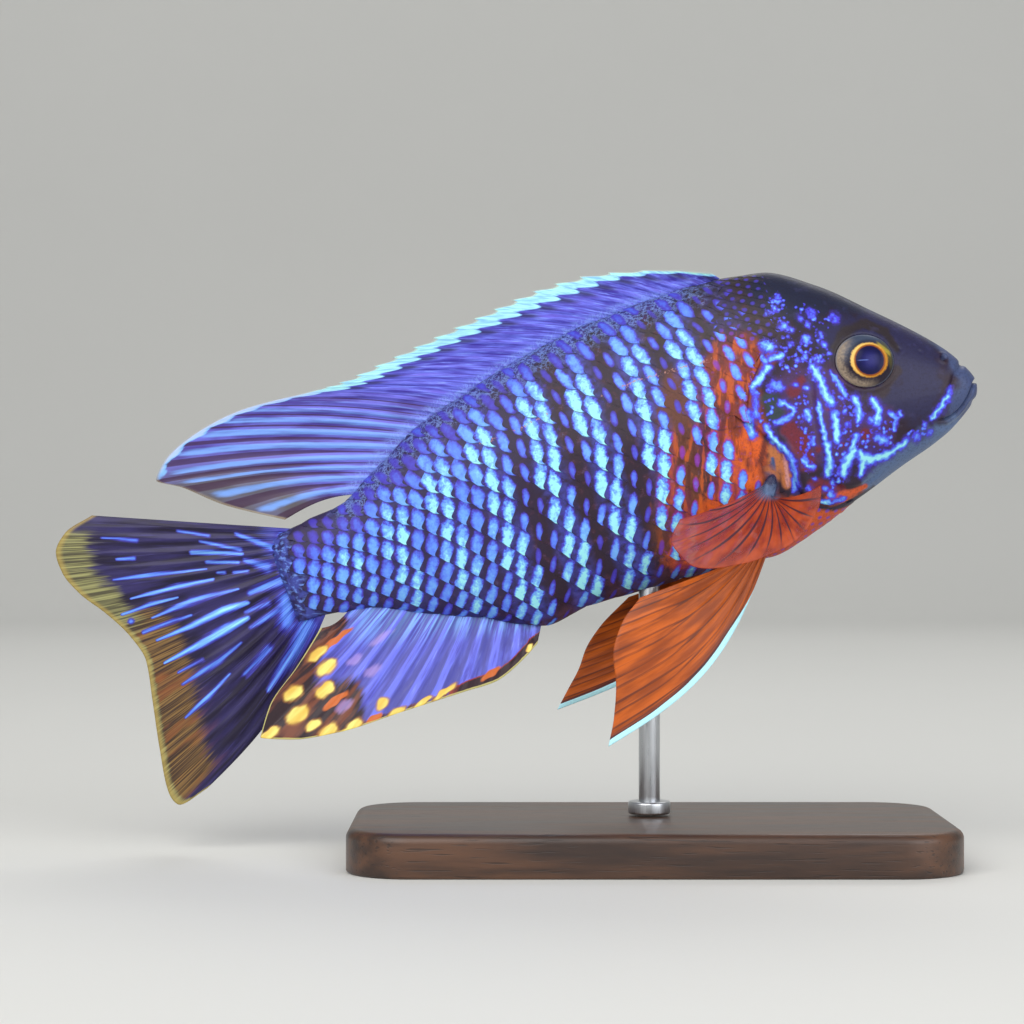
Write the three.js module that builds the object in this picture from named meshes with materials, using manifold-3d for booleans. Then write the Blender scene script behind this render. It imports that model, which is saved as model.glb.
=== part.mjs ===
// A male peacock cichlid at life size, as a still display model on a small stand.
// Millimetres. +X runs towards the snout, +Z is up and the fish's left side faces +Y.
// The origin is the middle of the stand's underside.
import * as THREE from "three";
import { mergeVertices } from "three/addons/utils/BufferGeometryUtils.js";
import Module from "manifold-3d";

const wasm = await Module();
wasm.setup();

const at = (x, y, z) => new THREE.Vector3(x, y, z);

// Gap kept between pieces that touch
const GAP = 0.3;

// Body midline from the snout to the tail root: nose-up, with the tail swung a little to the left
const SNOUT = at(45.9, 0, 66.8);
const MID_BACK = at(-1.4, 0, 58.9);
const TAIL_ROOT = at(-49.3, 7, 40.1);
const midline = new THREE.QuadraticBezierCurve3(SNOUT, MID_BACK, TAIL_ROOT);

// Body sections: share of the midline, back height, belly depth, half width, back keel, belly keel.
// A keel of 1 is an ellipse, more is narrower at the edge and less is squarer.
const SECTIONS = [
  [0.0, 0, 0, 0, 0.95, 0.95],
  [0.01, 2.4, 2.5, 2.9, 0.95, 0.95],
  [0.04, 5.9, 5.1, 4.5, 0.95, 1.0],
  [0.08, 9.2, 7.3, 5.6, 0.92, 1.05],
  [0.13, 12.9, 9.4, 6.7, 0.92, 1.1],
  [0.2, 18.0, 12.6, 7.8, 1.0, 1.1],
  [0.27, 21.4, 15.7, 8.4, 1.1, 1.05],
  [0.35, 22.1, 18.0, 8.5, 1.15, 1.0],
  [0.5, 21.0, 17.9, 8.0, 1.2, 0.95],
  [0.62, 18.8, 17.8, 6.9, 1.2, 1.0],
  [0.69, 16.9, 18.8, 6.0, 1.15, 1.1],
  [0.78, 14.2, 14.9, 4.8, 1.1, 1.1],
  [0.86, 10.2, 11.4, 3.7, 1.05, 1.05],
  [0.92, 7.3, 8.4, 3.0, 1.0, 1.0],
  [1.0, 6.9, 6.8, 2.3, 1.0, 1.0],
  [1.03, 6.3, 6.2, 0.5, 1.0, 1.0],
];
const BODY_END = 1.03;
const BODY_STEPS = 36;
const BODY_SIDES = 32;
const STALK_START = 0.865;

// Rear edge of the gill cover and the seam up to the nape, from above the back to below the throat
const GILL_EDGE = [
  [11.4, 88], [12.8, 80], [15.8, 73.6], [15.2, 69.6], [13.3, 65.8], [13.1, 62],
  [14.6, 59.8], [17.4, 57.5], [19.3, 54.2], [21, 51.3], [25, 50], [28.8, 50.5], [32.6, 46.5],
];
// Gill cover plate: its edge in side view, how far it stands proud and how deep it is set
const GILL_PLATE = [
  [22.8, 71.9], [19, 72.6], [15.7, 69.4], [13.7, 65.6], [13.5, 62.2], [15, 60.1],
  [17.7, 57.8], [19.7, 54.4], [21.4, 51.8], [25, 52], [25.6, 56], [24.2, 62], [23, 68],
];
const PLATE_RISE = 0.45;
const PLATE_DEPTH = 0.6;

// Mouth: front and corner of the gape in side view, half width, and the thickness of the lips
const GAPE_FRONT = at(44.9, 0, 67.3);
const GAPE_CORNER = at(39.8, 0, 61.7);
const GAPE_HALF = 4.1;
const UPPER_LIP = { rise: 1.3, out: 0.95, thin: 0.45 };
const LOWER_LIP = { rise: 1.2, out: 1, thin: 0.45 };
const JAW_BACK = [[36.2, 59.4], [33.2, 54], [31.6, 48]];

// Eye and nostril
const EYE = { x: 29.7, y: 5, z: 69.9, radius: 3.9, bulge: 2.5 };
const ORBIT_RIM = 0.5;
const NOSTRIL = { x: 40.8, y: 3.4, z: 70.4, radius: 0.5 };

// Fins: membrane thickness at the root and tip, and how far a ray stands out on each side
const MEMBRANE_ROOT = 0.6;
const MEMBRANE_TIP = 0.45;
const RAY_RISE = 0.3;
const LAPPET = 1.1;
const SPINES = 16;
const SPINE_SHARE = 0.7;
const SOFT_RAYS = 10;

// Stand
const BASE = { length: 84, width: 44, height: 6, corner: 9, bevel: 1 };
// The rod stands a little to the left of the base's middle, under the belly's keel.
const ROD_RADIUS = 1.5;
const ROD_Y = 1.9;
const COLLAR = { radius: 3, height: 1.8 };

// A smooth curve through rows of [x, ...values] that never overshoots between two rows.
function through(rows, column, warp = (x) => x) {
  const x = rows.map((row) => warp(row[0]));
  const y = rows.map((row) => row[column]);
  const slope = x.slice(1).map((next, i) => (y[i + 1] - y[i]) / (next - x[i]));
  const lean = x.map((_, i) => {
    if (i === 0) return slope[0];
    if (i === x.length - 1) return slope[i - 1];
    const product = slope[i - 1] * slope[i];
    return product <= 0 ? 0 : (2 * product) / (slope[i - 1] + slope[i]);
  });
  return (value) => {
    const v = Math.min(Math.max(warp(value), x[0]), x[x.length - 1]);
    const last = x.findIndex((edge, i) => i > 0 && v <= edge);
    const i = Math.max(last, 1) - 1;
    const h = x[i + 1] - x[i];
    const s = (v - x[i]) / h;
    return y[i] * (1 + 2 * s) * (1 - s) ** 2 + lean[i] * h * s * (1 - s) ** 2
      + y[i + 1] * s * s * (3 - 2 * s) + lean[i + 1] * h * s * s * (s - 1);
  };
}

// The square root keeps the snout round.
const [backHeight, bellyDepth, halfWidth, backKeel, bellyKeel] =
  [1, 2, 3, 4, 5].map((column) => through(SECTIONS, column, Math.sqrt));

// Centre and directions of the body at a share t of its midline.
function frameAt(t) {
  const centre = midline.getPoint(t);
  const along = midline.getPoint(t + 0.001).sub(midline.getPoint(t - 0.001)).normalize();
  const left = along.clone().cross(at(0, 0, 1)).normalize();
  const up = left.clone().cross(along);
  return { centre, along, left, up };
}

const bent = (value, keel) => Math.sign(value) * Math.abs(value) ** keel;

// A point on the body: angle 0 is the back, a quarter turn the left side and a half turn the belly.
function bodyPoint(t, angle, grow = 0) {
  const { centre, left, up } = frameAt(t);
  const above = Math.cos(angle) >= 0;
  const keel = above ? backKeel(t) : bellyKeel(t);
  const height = (above ? backHeight(t) : bellyDepth(t)) + grow;
  const width = halfWidth(t) + grow;
  return centre
    .addScaledVector(up, height * bent(Math.cos(angle), keel))
    .addScaledVector(left, width * bent(Math.sin(angle), keel));
}

// A closed mesh from a list of triangles on shared points.
function meshOf(points, triangles) {
  const geometry = new THREE.BufferGeometry().setFromPoints(points);
  geometry.setIndex(triangles.flat());
  return geometry;
}

// A closed tube of rings, each with the same number of points, with a flat fan at each end.
function loft(rings) {
  const sides = rings[0].length;
  const points = rings.flat();
  const triangles = [];
  for (let r = 0; r < rings.length - 1; r++) {
    for (let k = 0; k < sides; k++) {
      const a = r * sides + k;
      const b = r * sides + ((k + 1) % sides);
      triangles.push([a, b, b + sides], [a, b + sides, a + sides]);
    }
  }
  [0, rings.length - 1].forEach((r) => {
    const middle = points.length;
    points.push(rings[r].reduce((sum, p) => sum.add(p), at(0, 0, 0)).divideScalar(sides));
    for (let k = 0; k < sides; k++) {
      const a = r * sides + k;
      const b = r * sides + ((k + 1) % sides);
      triangles.push(r === 0 ? [middle, b, a] : [middle, a, b]);
    }
  });
  return solid(meshOf(points, triangles));
}

// A closed mesh as a solid, turned to face outwards.
function solid(geometry) {
  const bare = new THREE.BufferGeometry().setAttribute("position", geometry.getAttribute("position"));
  if (geometry.index) bare.setIndex(geometry.index);
  const merged = mergeVertices(bare, 1e-4);
  const vertProperties = new Float32Array(merged.attributes.position.array);
  const triVerts = new Uint32Array(merged.index.array);
  const make = () => new wasm.Manifold(new wasm.Mesh({ numProp: 3, vertProperties, triVerts }));
  const made = make();
  if (made.volume() >= 0) return made;
  for (let i = 0; i < triVerts.length; i += 3) {
    [triVerts[i], triVerts[i + 1]] = [triVerts[i + 1], triVerts[i]];
  }
  return make();
}

// The largest closed body of a solid.
const largest = (shape) => shape.decompose().sort((a, b) => b.volume() - a.volume())[0];

// The whole body, grown outwards by some amount.
function body(grow = 0) {
  const rings = [];
  for (let i = 0; i <= BODY_STEPS; i++) {
    const t = BODY_END * Math.max(i / BODY_STEPS, 0.02) ** 1.35;
    const ring = [];
    for (let k = 0; k < BODY_SIDES; k++) ring.push(bodyPoint(t, (2 * Math.PI * k) / BODY_SIDES, grow));
    rings.push(ring);
  }
  return loft(rings);
}

// An outline in side view, run right through the fish from right to left.
const DEPTH = 60;
function prism(outline, from = -DEPTH / 2, deep = DEPTH) {
  const shape = new THREE.Shape(outline.map(([x, z]) => new THREE.Vector2(x, z)));
  const geometry = new THREE.ExtrudeGeometry(shape, { depth: deep, bevelEnabled: false });
  geometry.rotateX(Math.PI / 2);
  geometry.translate(0, from + deep, 0);
  return solid(geometry);
}

// A smooth outline through hand-set points.
function smooth(points, count) {
  const curve = new THREE.SplineCurve(points.map(([x, z]) => new THREE.Vector2(x, z)));
  return curve.getPoints(count).map((p) => [p.x, p.y]);
}

// A closed outline moved outwards, or inwards if by is negative.
function grown(outline, by) {
  const turn = Math.sign(THREE.ShapeUtils.area(outline.map(([x, y]) => ({ x, y }))));
  const count = outline.length;
  return outline.map(([x, y], i) => {
    const [px, py] = outline[(i + count - 1) % count];
    const [nx, ny] = outline[(i + 1) % count];
    const before = new THREE.Vector2(x - px, y - py).normalize();
    const after = new THREE.Vector2(nx - x, ny - y).normalize();
    const mean = before.add(after).normalize();
    return [x + turn * by * mean.y, y - turn * by * mean.x];
  });
}

// Flesh

const fullBody = body();
const clearance = body(GAP);
const gillEdge = smooth(GILL_EDGE, 26);
const HEAD_REGION = [...gillEdge, [60, 46.5], [60, 88]];
const stalkCut = (t, behind) => {
  const { centre, along, up } = frameAt(t);
  const corners = [[0, 30], [0, -30], [behind * 60, -30], [behind * 60, 30]];
  return prism(corners.map(([a, u]) => {
    const p = centre.clone().addScaledVector(along, a).addScaledVector(up, u);
    return [p.x, p.z];
  }));
};
const stalkGap = GAP / 98.5;

// A lip: a tapered roll round the gape from one corner to the other, above the gape or below it.
function lip({ rise, out, thin }, side) {
  const forward = GAPE_FRONT.clone().sub(GAPE_CORNER);
  const gape = forward.clone().normalize();
  const over = at(-gape.z, 0, gape.x).multiplyScalar(side);
  const rings = [];
  const steps = 16;
  const round = 8;
  for (let i = 0; i <= steps; i++) {
    const turn = -Math.PI / 2 + (Math.PI * i) / steps;
    const path = (angle) => GAPE_CORNER.clone()
      .addScaledVector(forward, Math.abs(Math.cos(angle)) ** 0.8)
      .add(at(0, GAPE_HALF * Math.sin(angle), 0));
    const fade = thin + (1 - thin) * Math.abs(Math.cos(turn)) ** 0.7;
    const outward = forward.clone().multiplyScalar(Math.cos(turn) / 2.2)
      .add(at(0, GAPE_HALF * Math.sin(turn), 0)).normalize();
    const middle = path(turn).addScaledVector(over, rise * fade * 0.9).addScaledVector(outward, -0.55);
    const ring = [];
    for (let k = 0; k < round; k++) {
      const a = (2 * Math.PI * k) / round;
      ring.push(middle.clone()
        .addScaledVector(over, rise * fade * Math.cos(a))
        .addScaledVector(outward, out * fade * Math.sin(a)));
    }
    rings.push(ring);
  }
  return loft(rings);
}

// The gape is a thin slit from in front of the lips back to the corner.
function gapeLine(reach) {
  const gape = GAPE_FRONT.clone().sub(GAPE_CORNER).normalize();
  const front = GAPE_FRONT.clone().addScaledVector(gape, reach);
  return [[front.x, front.z], [GAPE_CORNER.x, GAPE_CORNER.z]];
}
const JAW_REGION = [...gapeLine(5), ...JAW_BACK, [56, 48]];

function ellipsoid(x, y, z, rx, ry, rz, round = 24) {
  const geometry = new THREE.SphereGeometry(1, round, round * 0.6);
  geometry.rotateX(Math.PI / 2);
  geometry.scale(rx, ry, rz);
  geometry.translate(x, y, z);
  return solid(geometry);
}

const eyeball = (side, grow = 0) =>
  ellipsoid(EYE.x, side * EYE.y, EYE.z, EYE.radius + grow, EYE.bulge + grow, EYE.radius + grow, 22);

// The rim of the eye socket is a low ring of skin.
function orbitRim(side) {
  const ring = new THREE.TorusGeometry(EYE.radius + 0.3, ORBIT_RIM, 6, 22);
  ring.rotateX(Math.PI / 2);
  ring.rotateZ(side * 0.2);
  ring.rotateX(side * 0.22);
  ring.translate(EYE.x, side * (EYE.y + 0.85), EYE.z);
  return solid(ring);
}

const gillPlate = smooth([...GILL_PLATE, GILL_PLATE[0]], 30).slice(0, -1);
const sideOf = (outline, side) => (side > 0 ? prism(outline, 1, 30) : prism(outline, -31, 30));
const outerPlate = body(PLATE_RISE);
const plateBed = body(-PLATE_DEPTH);
const bedClear = body(-PLATE_DEPTH - GAP);
const gillCover = (side) =>
  largest(outerPlate.intersect(sideOf(grown(gillPlate, -GAP), side)).subtract(plateBed));

function lowerJaw() {
  const chin = fullBody.intersect(prism(JAW_REGION));
  const slit = prism(grown(JAW_REGION, 0.01));
  return largest(chin.add(lip(LOWER_LIP, -1).intersect(slit)));
}

function head() {
  let skull = fullBody.intersect(prism(HEAD_REGION)).add(lip(UPPER_LIP, 1));
  [-1, 1].forEach((side) => {
    skull = skull.add(orbitRim(side));
    skull = skull.subtract(eyeball(side, GAP));
    skull = skull.subtract(sideOf(gillPlate, side).subtract(bedClear));
    skull = skull.subtract(ellipsoid(
      NOSTRIL.x, side * NOSTRIL.y, NOSTRIL.z, NOSTRIL.radius * 1.3, 0.7, NOSTRIL.radius, 10));
  });
  return largest(skull.subtract(prism(grown(JAW_REGION, GAP))));
}

const trunk = () =>
  largest(fullBody.subtract(prism(grown(HEAD_REGION, GAP))).subtract(stalkCut(STALK_START, 1)));
const tailStalk = () => largest(fullBody.intersect(stalkCut(STALK_START + stalkGap, 1)));

// Fins

// A smooth curve through points that are set at named shares of the fin's length.
function tipCurve(rows) {
  const part = [1, 2, 3].map((column) => through(rows, column));
  return (u) => at(...part.map((f) => f(u)));
}

// A fin: a thin sheet from root(u) to tip(u), one column of points for each share u in columns.
// ridge(u) is 1 on a ray and 0 between rays, and belly(u, v) bends the sheet off the straight line.
function fin({ columns, rows, root, tip, ridge, belly, across }) {
  const points = [];
  columns.forEach((u) => {
    for (let j = 0; j <= rows; j++) {
      const v = j / rows;
      const middle = root(u).lerp(tip(u), v).add(belly(u, v));
      const membrane = MEMBRANE_ROOT + (MEMBRANE_TIP - MEMBRANE_ROOT) * v;
      const half = membrane / 2 + RAY_RISE * ridge(u) * (1 - 0.7 * v);
      const normal = across(u, v);
      points.push(middle.clone().addScaledVector(normal, half));
      points.push(middle.clone().addScaledVector(normal, -half));
    }
  });
  const id = (i, j, face) => 2 * (i * (rows + 1) + j) + face;
  const triangles = [];
  const last = columns.length - 1;
  for (let i = 0; i < last; i++) {
    for (let j = 0; j < rows; j++) {
      const corners = (face) => [id(i, j, face), id(i + 1, j, face), id(i + 1, j + 1, face), id(i, j + 1, face)];
      const [a, b, c, d] = corners(0);
      const [e, f, g, h] = corners(1);
      triangles.push([a, b, c], [a, c, d], [e, g, f], [e, h, g]);
    }
    triangles.push([id(i, 0, 0), id(i, 0, 1), id(i + 1, 0, 1)], [id(i, 0, 0), id(i + 1, 0, 1), id(i + 1, 0, 0)]);
    triangles.push(
      [id(i, rows, 1), id(i, rows, 0), id(i + 1, rows, 0)],
      [id(i, rows, 1), id(i + 1, rows, 0), id(i + 1, rows, 1)]);
  }
  for (let j = 0; j < rows; j++) {
    triangles.push([id(0, j, 1), id(0, j, 0), id(0, j + 1, 0)], [id(0, j, 1), id(0, j + 1, 0), id(0, j + 1, 1)]);
    triangles.push(
      [id(last, j, 0), id(last, j, 1), id(last, j + 1, 1)],
      [id(last, j, 0), id(last, j + 1, 1), id(last, j + 1, 0)]);
  }
  return solid(meshOf(points, triangles));
}

// Columns for a fin of soft rays: one on each ray and one half way to the next.
function rayColumns(rays, from = 0, to = 1) {
  const columns = [];
  for (let i = 0; i < 2 * rays - 1; i++) columns.push(from + ((to - from) * i) / (2 * rays - 2));
  return columns;
}
const onRay = (rays) => (u) => (Math.round(u * (2 * rays - 2)) % 2 === 0 ? 1 : 0);
const unit = (x, y, z) => at(x, y, z).normalize();
const still = () => at(0, 0, 0);

// Dorsal fin: sixteen spines laid back, each with a pointed lappet behind it, then ten soft rays
// that draw out to a point.
const DORSAL_FROM = 0.318;
const DORSAL_TO = 0.887;
const DORSAL_TIPS = [
  [0, 8.6, 0, 82.5], [0.05, 2, 0.2, 82.9], [0.12, -6.2, 0.4, 82.4], [0.2, -13.6, 0.8, 80.7],
  [0.35, -24.5, 1.4, 76], [0.52, -37, 3, 70.2], [0.62, -43.6, 3.8, 67.2], [0.7, -48.4, 4.4, 65.9],
  [0.77, -57.6, 5.6, 63.6], [0.83, -64.6, 6.8, 60.2], [0.875, -69.2, 7.5, 56.2], [0.905, -70.4, 7.7, 53.5],
  [0.935, -66.6, 7.3, 52.4], [0.967, -60.5, 6.8, 49.9], [1, -51.8, 6, 47.8],
];
function dorsalFin() {
  const edge = tipCurve(DORSAL_TIPS);
  const columns = [];
  for (let i = 0; i < SPINES; i++) {
    [0, 0.45, 0.93].forEach((share) => columns.push((SPINE_SHARE * (i + share)) / SPINES));
  }
  columns.push(...rayColumns(SOFT_RAYS, SPINE_SHARE + 0.004, 1));
  const spineShare = (u) => ((u / SPINE_SHARE) * SPINES) % 1;
  const root = (u) => {
    const t = DORSAL_FROM + (DORSAL_TO - DORSAL_FROM) * u;
    const { up } = frameAt(t);
    return bodyPoint(t, 0).addScaledVector(up, -0.9);
  };
  return fin({
    columns,
    rows: 5,
    root,
    tip: (u) => {
      const p = edge(u);
      if (u < SPINE_SHARE) {
        const rise = LAPPET * THREE.MathUtils.smoothstep(u, 0, 0.2) * (spineShare(u) - 0.75);
        p.add(at(-0.35 * rise, 0, rise));
      }
      return p;
    },
    ridge: (u) => (u < SPINE_SHARE ? Number(spineShare(u) < 0.1) : onRay(SOFT_RAYS)((u - SPINE_SHARE) / (1 - SPINE_SHARE))),
    belly: (u, v) => at(0, 0, 0.9 * u * Math.sin(Math.PI * v)),
    across: () => unit(0.1, 1, 0),
  });
}

// Anal fin: three short spines and nine soft rays, drawn out to a point and swung to the right.
const ANAL_FROM = 0.7;
const ANAL_TO = 0.95;
const ANAL_RAYS = 12;
const ANAL_TIPS = [
  [0, -15.8, 2.2, 30.3], [0.09, -18, 2, 27.9], [0.18, -21.6, 1.8, 25], [0.28, -26.2, 1.6, 23.5],
  [0.45, -34.6, 1.4, 20.8], [0.62, -44, 1.2, 17.8], [0.74, -50.6, 1.2, 16.8], [0.81, -54.9, 1.4, 17.1],
  [0.86, -53.6, 1.8, 21.6], [0.91, -50, 2.6, 26.8], [0.955, -48, 3.2, 30], [1, -46.6, 4, 32.4],
];
function analFin() {
  const shareOf = (u) => ANAL_FROM + (ANAL_TO - ANAL_FROM) * u;
  return fin({
    columns: rayColumns(ANAL_RAYS),
    rows: 6,
    root: (u) => bodyPoint(shareOf(u), Math.PI).addScaledVector(frameAt(shareOf(u)).up, 0.9),
    tip: tipCurve(ANAL_TIPS),
    ridge: onRay(ANAL_RAYS),
    belly: (u, v) => at(0, 0, -0.8 * u * Math.sin(Math.PI * v)),
    across: () => unit(0.1, 1, 0.15),
  });
}

// Tail fin: sixteen main rays, the rear edge hollowed between two lobes.
const TAIL_RAYS = 16;
const TAIL_TIPS = [
  [0, -80.2, 11.6, 48.4], [0.07, -84.1, 12, 45.9], [0.13, -85.5, 12.2, 43.1], [0.2, -84.6, 12, 40.2],
  [0.28, -82, 11.7, 37.1], [0.36, -78.1, 11.3, 34.2], [0.43, -74.6, 10.8, 31], [0.5, -72.2, 10.5, 27.4],
  [0.6, -71.3, 10.5, 21.8], [0.74, -70.3, 10.7, 14.9], [0.88, -69, 10.9, 8.4], [0.93, -67.4, 11, 6.6],
  [1, -63.4, 10.8, 9],
];
function tailFin() {
  const { centre, up } = frameAt(1);
  return fin({
    columns: rayColumns(TAIL_RAYS),
    rows: 7,
    root: (u) => centre.clone().addScaledVector(up, 6.4 - 12.8 * u),
    tip: tipCurve(TAIL_TIPS),
    ridge: onRay(TAIL_RAYS),
    belly: (u, v) => at(0.7 * (u + u ** 3), -0.9 * Math.cos(3 * u), -0.8 * u - 0.5 * u ** 3)
      .multiplyScalar(Math.sin(Math.PI * v)),
    across: () => unit(0.12, 1, 0),
  });
}

// Pelvic fins: a spine and five soft rays each, the first drawn out into a filament. The left one
// is held further back than the right.
const PELVIC_RAYS = 6;
const PELVIC_FROM = 0.356;
const PELVIC_TO = 0.395;
const PELVIC_ROOT_HALF = 1.5;
const RIGHT_PELVIC_TIPS = [
  [0, -6.1, -7.4, 16.5], [0.2, -5.3, -7, 20.6], [0.4, -5, -6.6, 24.8], [0.6, -5.4, -6.1, 29.1],
  [0.8, -4.2, -5.4, 33.4], [1, -1.6, -4.4, 37],
];
const LEFT_PELVIC_TIPS = [
  [0, -12.9, 8.6, 20.5], [0.2, -11.4, 8.1, 23.4], [0.4, -9.8, 7.6, 26.5], [0.6, -8.8, 7, 29.4],
  [0.8, -6.8, 6, 32.6], [1, -2.8, 4.8, 36.8],
];
function pelvicFin(side, tips, bulge) {
  return fin({
    columns: rayColumns(PELVIC_RAYS),
    rows: 8,
    root: (u) => {
      const t = PELVIC_FROM + (PELVIC_TO - PELVIC_FROM) * u;
      return bodyPoint(t, Math.PI).add(at(0, side * (PELVIC_ROOT_HALF + 0.6 * u), 0.9));
    },
    tip: tipCurve(tips),
    ridge: onRay(PELVIC_RAYS),
    belly: (u, v) => at(bulge * (1 - u), side * 1.2, -0.86 * bulge * (1 - u)).multiplyScalar(Math.sin(Math.PI * v)),
    across: () => unit(0.12 * side, 1, 0.3 * side),
  });
}

// Pectoral fins: a cupped fan of fourteen rays on a small fleshy lobe, swung out and forwards.
const PECTORAL_RAYS = 14;
const PECTORAL_ROOT = { x: 16.1, y: 7.4, z: 51.8, lobe: 1.6 };
// Share of the fan, swing forwards from straight back in degrees, length in side view, reach outwards
const PECTORAL_FAN = [
  [0, 22, 13, 4], [0.12, 31, 15.6, 5.2], [0.28, 42, 15.4, 6.6], [0.45, 66, 11, 8], [0.6, 92, 8, 8.6],
  [0.75, 120, 6.6, 8.2], [0.88, 152, 5.8, 7.2], [1, 196, 6.2, 5.6],
];
function pectoralFin(side) {
  const [swing, reach, outward] = [1, 2, 3].map((column) => through(PECTORAL_FAN, column));
  const heading = (u) => THREE.MathUtils.degToRad(180 - swing(u));
  const root = (u) => at(PECTORAL_ROOT.x - 0.5 + u, side * PECTORAL_ROOT.y, PECTORAL_ROOT.z + 1 - 2 * u);
  const fan = fin({
    columns: rayColumns(PECTORAL_RAYS),
    rows: 5,
    root,
    tip: (u) => root(u).add(at(
      reach(u) * Math.cos(heading(u)), side * outward(u), -reach(u) * Math.sin(heading(u)))),
    ridge: onRay(PECTORAL_RAYS),
    belly: (u, v) => at(0, side * 1.4, -0.5).multiplyScalar(Math.sin(Math.PI * v)),
    across: (u) => {
      const a = heading(u);
      const ray = at(reach(u) * Math.cos(a), side * outward(u), -reach(u) * Math.sin(a)).normalize();
      const sideways = at(-Math.sin(a), 0, -Math.cos(a));
      return ray.cross(sideways).normalize();
    },
  });
  const lobe = ellipsoid(
    PECTORAL_ROOT.x, side * PECTORAL_ROOT.y, PECTORAL_ROOT.z,
    PECTORAL_ROOT.lobe * 0.8, PECTORAL_ROOT.lobe, PECTORAL_ROOT.lobe, 14);
  return fan.add(lobe);
}

const trimmed = (shape) => largest(shape.subtract(clearance));

// Stand

function standBase() {
  const { length, width, height, corner, bevel } = BASE;
  const [x, y] = [length / 2 - bevel, width / 2 - bevel];
  const shape = new THREE.Shape();
  shape.moveTo(-x + corner, -y).lineTo(x - corner, -y).absarc(x - corner, -y + corner, corner, -Math.PI / 2, 0);
  shape.lineTo(x, y - corner).absarc(x - corner, y - corner, corner, 0, Math.PI / 2);
  shape.lineTo(-x + corner, y).absarc(-x + corner, y - corner, corner, Math.PI / 2, Math.PI);
  shape.lineTo(-x, -y + corner).absarc(-x + corner, -y + corner, corner, Math.PI, 1.5 * Math.PI);
  const geometry = new THREE.ExtrudeGeometry(shape, {
    depth: height - 2 * bevel, bevelThickness: bevel, bevelSize: bevel, bevelSegments: 1, curveSegments: 5,
  });
  geometry.translate(0, 0, bevel);
  return solid(geometry);
}

function standRod() {
  const foot = BASE.height + GAP;
  const upright = (radius, from, to) => {
    const geometry = new THREE.CylinderGeometry(radius, radius, to - from, 24);
    geometry.rotateX(Math.PI / 2);
    geometry.translate(0, ROD_Y, (from + to) / 2);
    return solid(geometry);
  };
  const rod = upright(ROD_RADIUS, foot, MID_BACK.z - 10).add(upright(COLLAR.radius, foot, foot + COLLAR.height));
  return trimmed(rod);
}

// The model

const FINISHES = {
  skin: { color: 0x3f4a9c, roughness: 0.4, metalness: 0.1 },
  head_skin: { color: 0x4a4d70, roughness: 0.4, metalness: 0.05 },
  eye: { color: 0x1b1a4a, roughness: 0.08, metalness: 0 },
  blue_fin: { color: 0x4c49b8, roughness: 0.45, metalness: 0.05 },
  orange_fin: { color: 0xc2561f, roughness: 0.45, metalness: 0 },
  stand_wood: { color: 0x2a1c14, roughness: 0.4, metalness: 0 },
  stand_steel: { color: 0xb8bbc0, roughness: 0.25, metalness: 1 },
};

const model = new THREE.Group();
model.name = "peacock_cichlid";

function place(name, shape, finish) {
  const { numProp, vertProperties, triVerts, numVert } = shape.getMesh();
  const positions = new Float32Array(numVert * 3);
  for (let i = 0; i < numVert; i++) positions.set(vertProperties.subarray(i * numProp, i * numProp + 3), i * 3);
  const geometry = new THREE.BufferGeometry()
    .setAttribute("position", new THREE.BufferAttribute(positions, 3))
    .setIndex(new THREE.BufferAttribute(new Uint32Array(triVerts), 1));
  geometry.computeVertexNormals();
  const mesh = new THREE.Mesh(geometry, new THREE.MeshStandardMaterial(FINISHES[finish]));
  mesh.name = name;
  model.add(mesh);
}

place("head", head(), "head_skin");
place("lower_jaw", lowerJaw(), "head_skin");
place("trunk", trunk(), "skin");
place("tail_stalk", tailStalk(), "skin");
[["left", 1], ["right", -1]].forEach(([name, side]) => {
  place(`gill_cover_${name}`, gillCover(side), "head_skin");
  place(`eye_${name}`, eyeball(side), "eye");
  place(`pectoral_fin_${name}`, trimmed(pectoralFin(side)), "orange_fin");
});
place("pelvic_fin_right", trimmed(pelvicFin(-1, RIGHT_PELVIC_TIPS, 2.9)), "orange_fin");
place("pelvic_fin_left", trimmed(pelvicFin(1, LEFT_PELVIC_TIPS, 3)), "orange_fin");
place("dorsal_fin", trimmed(dorsalFin()), "blue_fin");
place("anal_fin", trimmed(analFin()), "blue_fin");
place("tail_fin", trimmed(tailFin()), "blue_fin");
place("stand_base", standBase(), "stand_wood");
place("stand_rod", standRod(), "stand_steel");

export default model;
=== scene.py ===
# A male peacock cichlid at life size, a still display model on a small wooden stand.
# Sizes are in millimetres and are turned into metres when a piece is made. The snout points
# along +X, +Z is up, and the camera looks along +Y at the fish's right side.
import math
import bmesh
import bpy
import mathutils
import numpy as np
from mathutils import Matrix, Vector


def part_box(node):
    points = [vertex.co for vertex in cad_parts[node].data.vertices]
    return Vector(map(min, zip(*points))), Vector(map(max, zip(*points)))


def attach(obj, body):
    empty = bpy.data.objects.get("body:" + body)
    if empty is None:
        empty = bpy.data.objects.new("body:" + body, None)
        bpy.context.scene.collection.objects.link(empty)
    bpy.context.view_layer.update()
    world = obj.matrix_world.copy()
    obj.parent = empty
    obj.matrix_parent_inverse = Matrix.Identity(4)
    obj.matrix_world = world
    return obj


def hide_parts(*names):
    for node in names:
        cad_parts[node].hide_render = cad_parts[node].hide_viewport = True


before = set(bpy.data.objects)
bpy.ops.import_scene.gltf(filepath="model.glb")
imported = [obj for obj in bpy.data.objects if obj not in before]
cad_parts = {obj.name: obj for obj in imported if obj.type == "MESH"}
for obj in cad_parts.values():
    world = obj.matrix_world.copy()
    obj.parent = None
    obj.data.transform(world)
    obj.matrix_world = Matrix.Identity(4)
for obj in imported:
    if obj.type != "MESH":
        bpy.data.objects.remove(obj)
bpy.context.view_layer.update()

MM = 0.001

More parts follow.
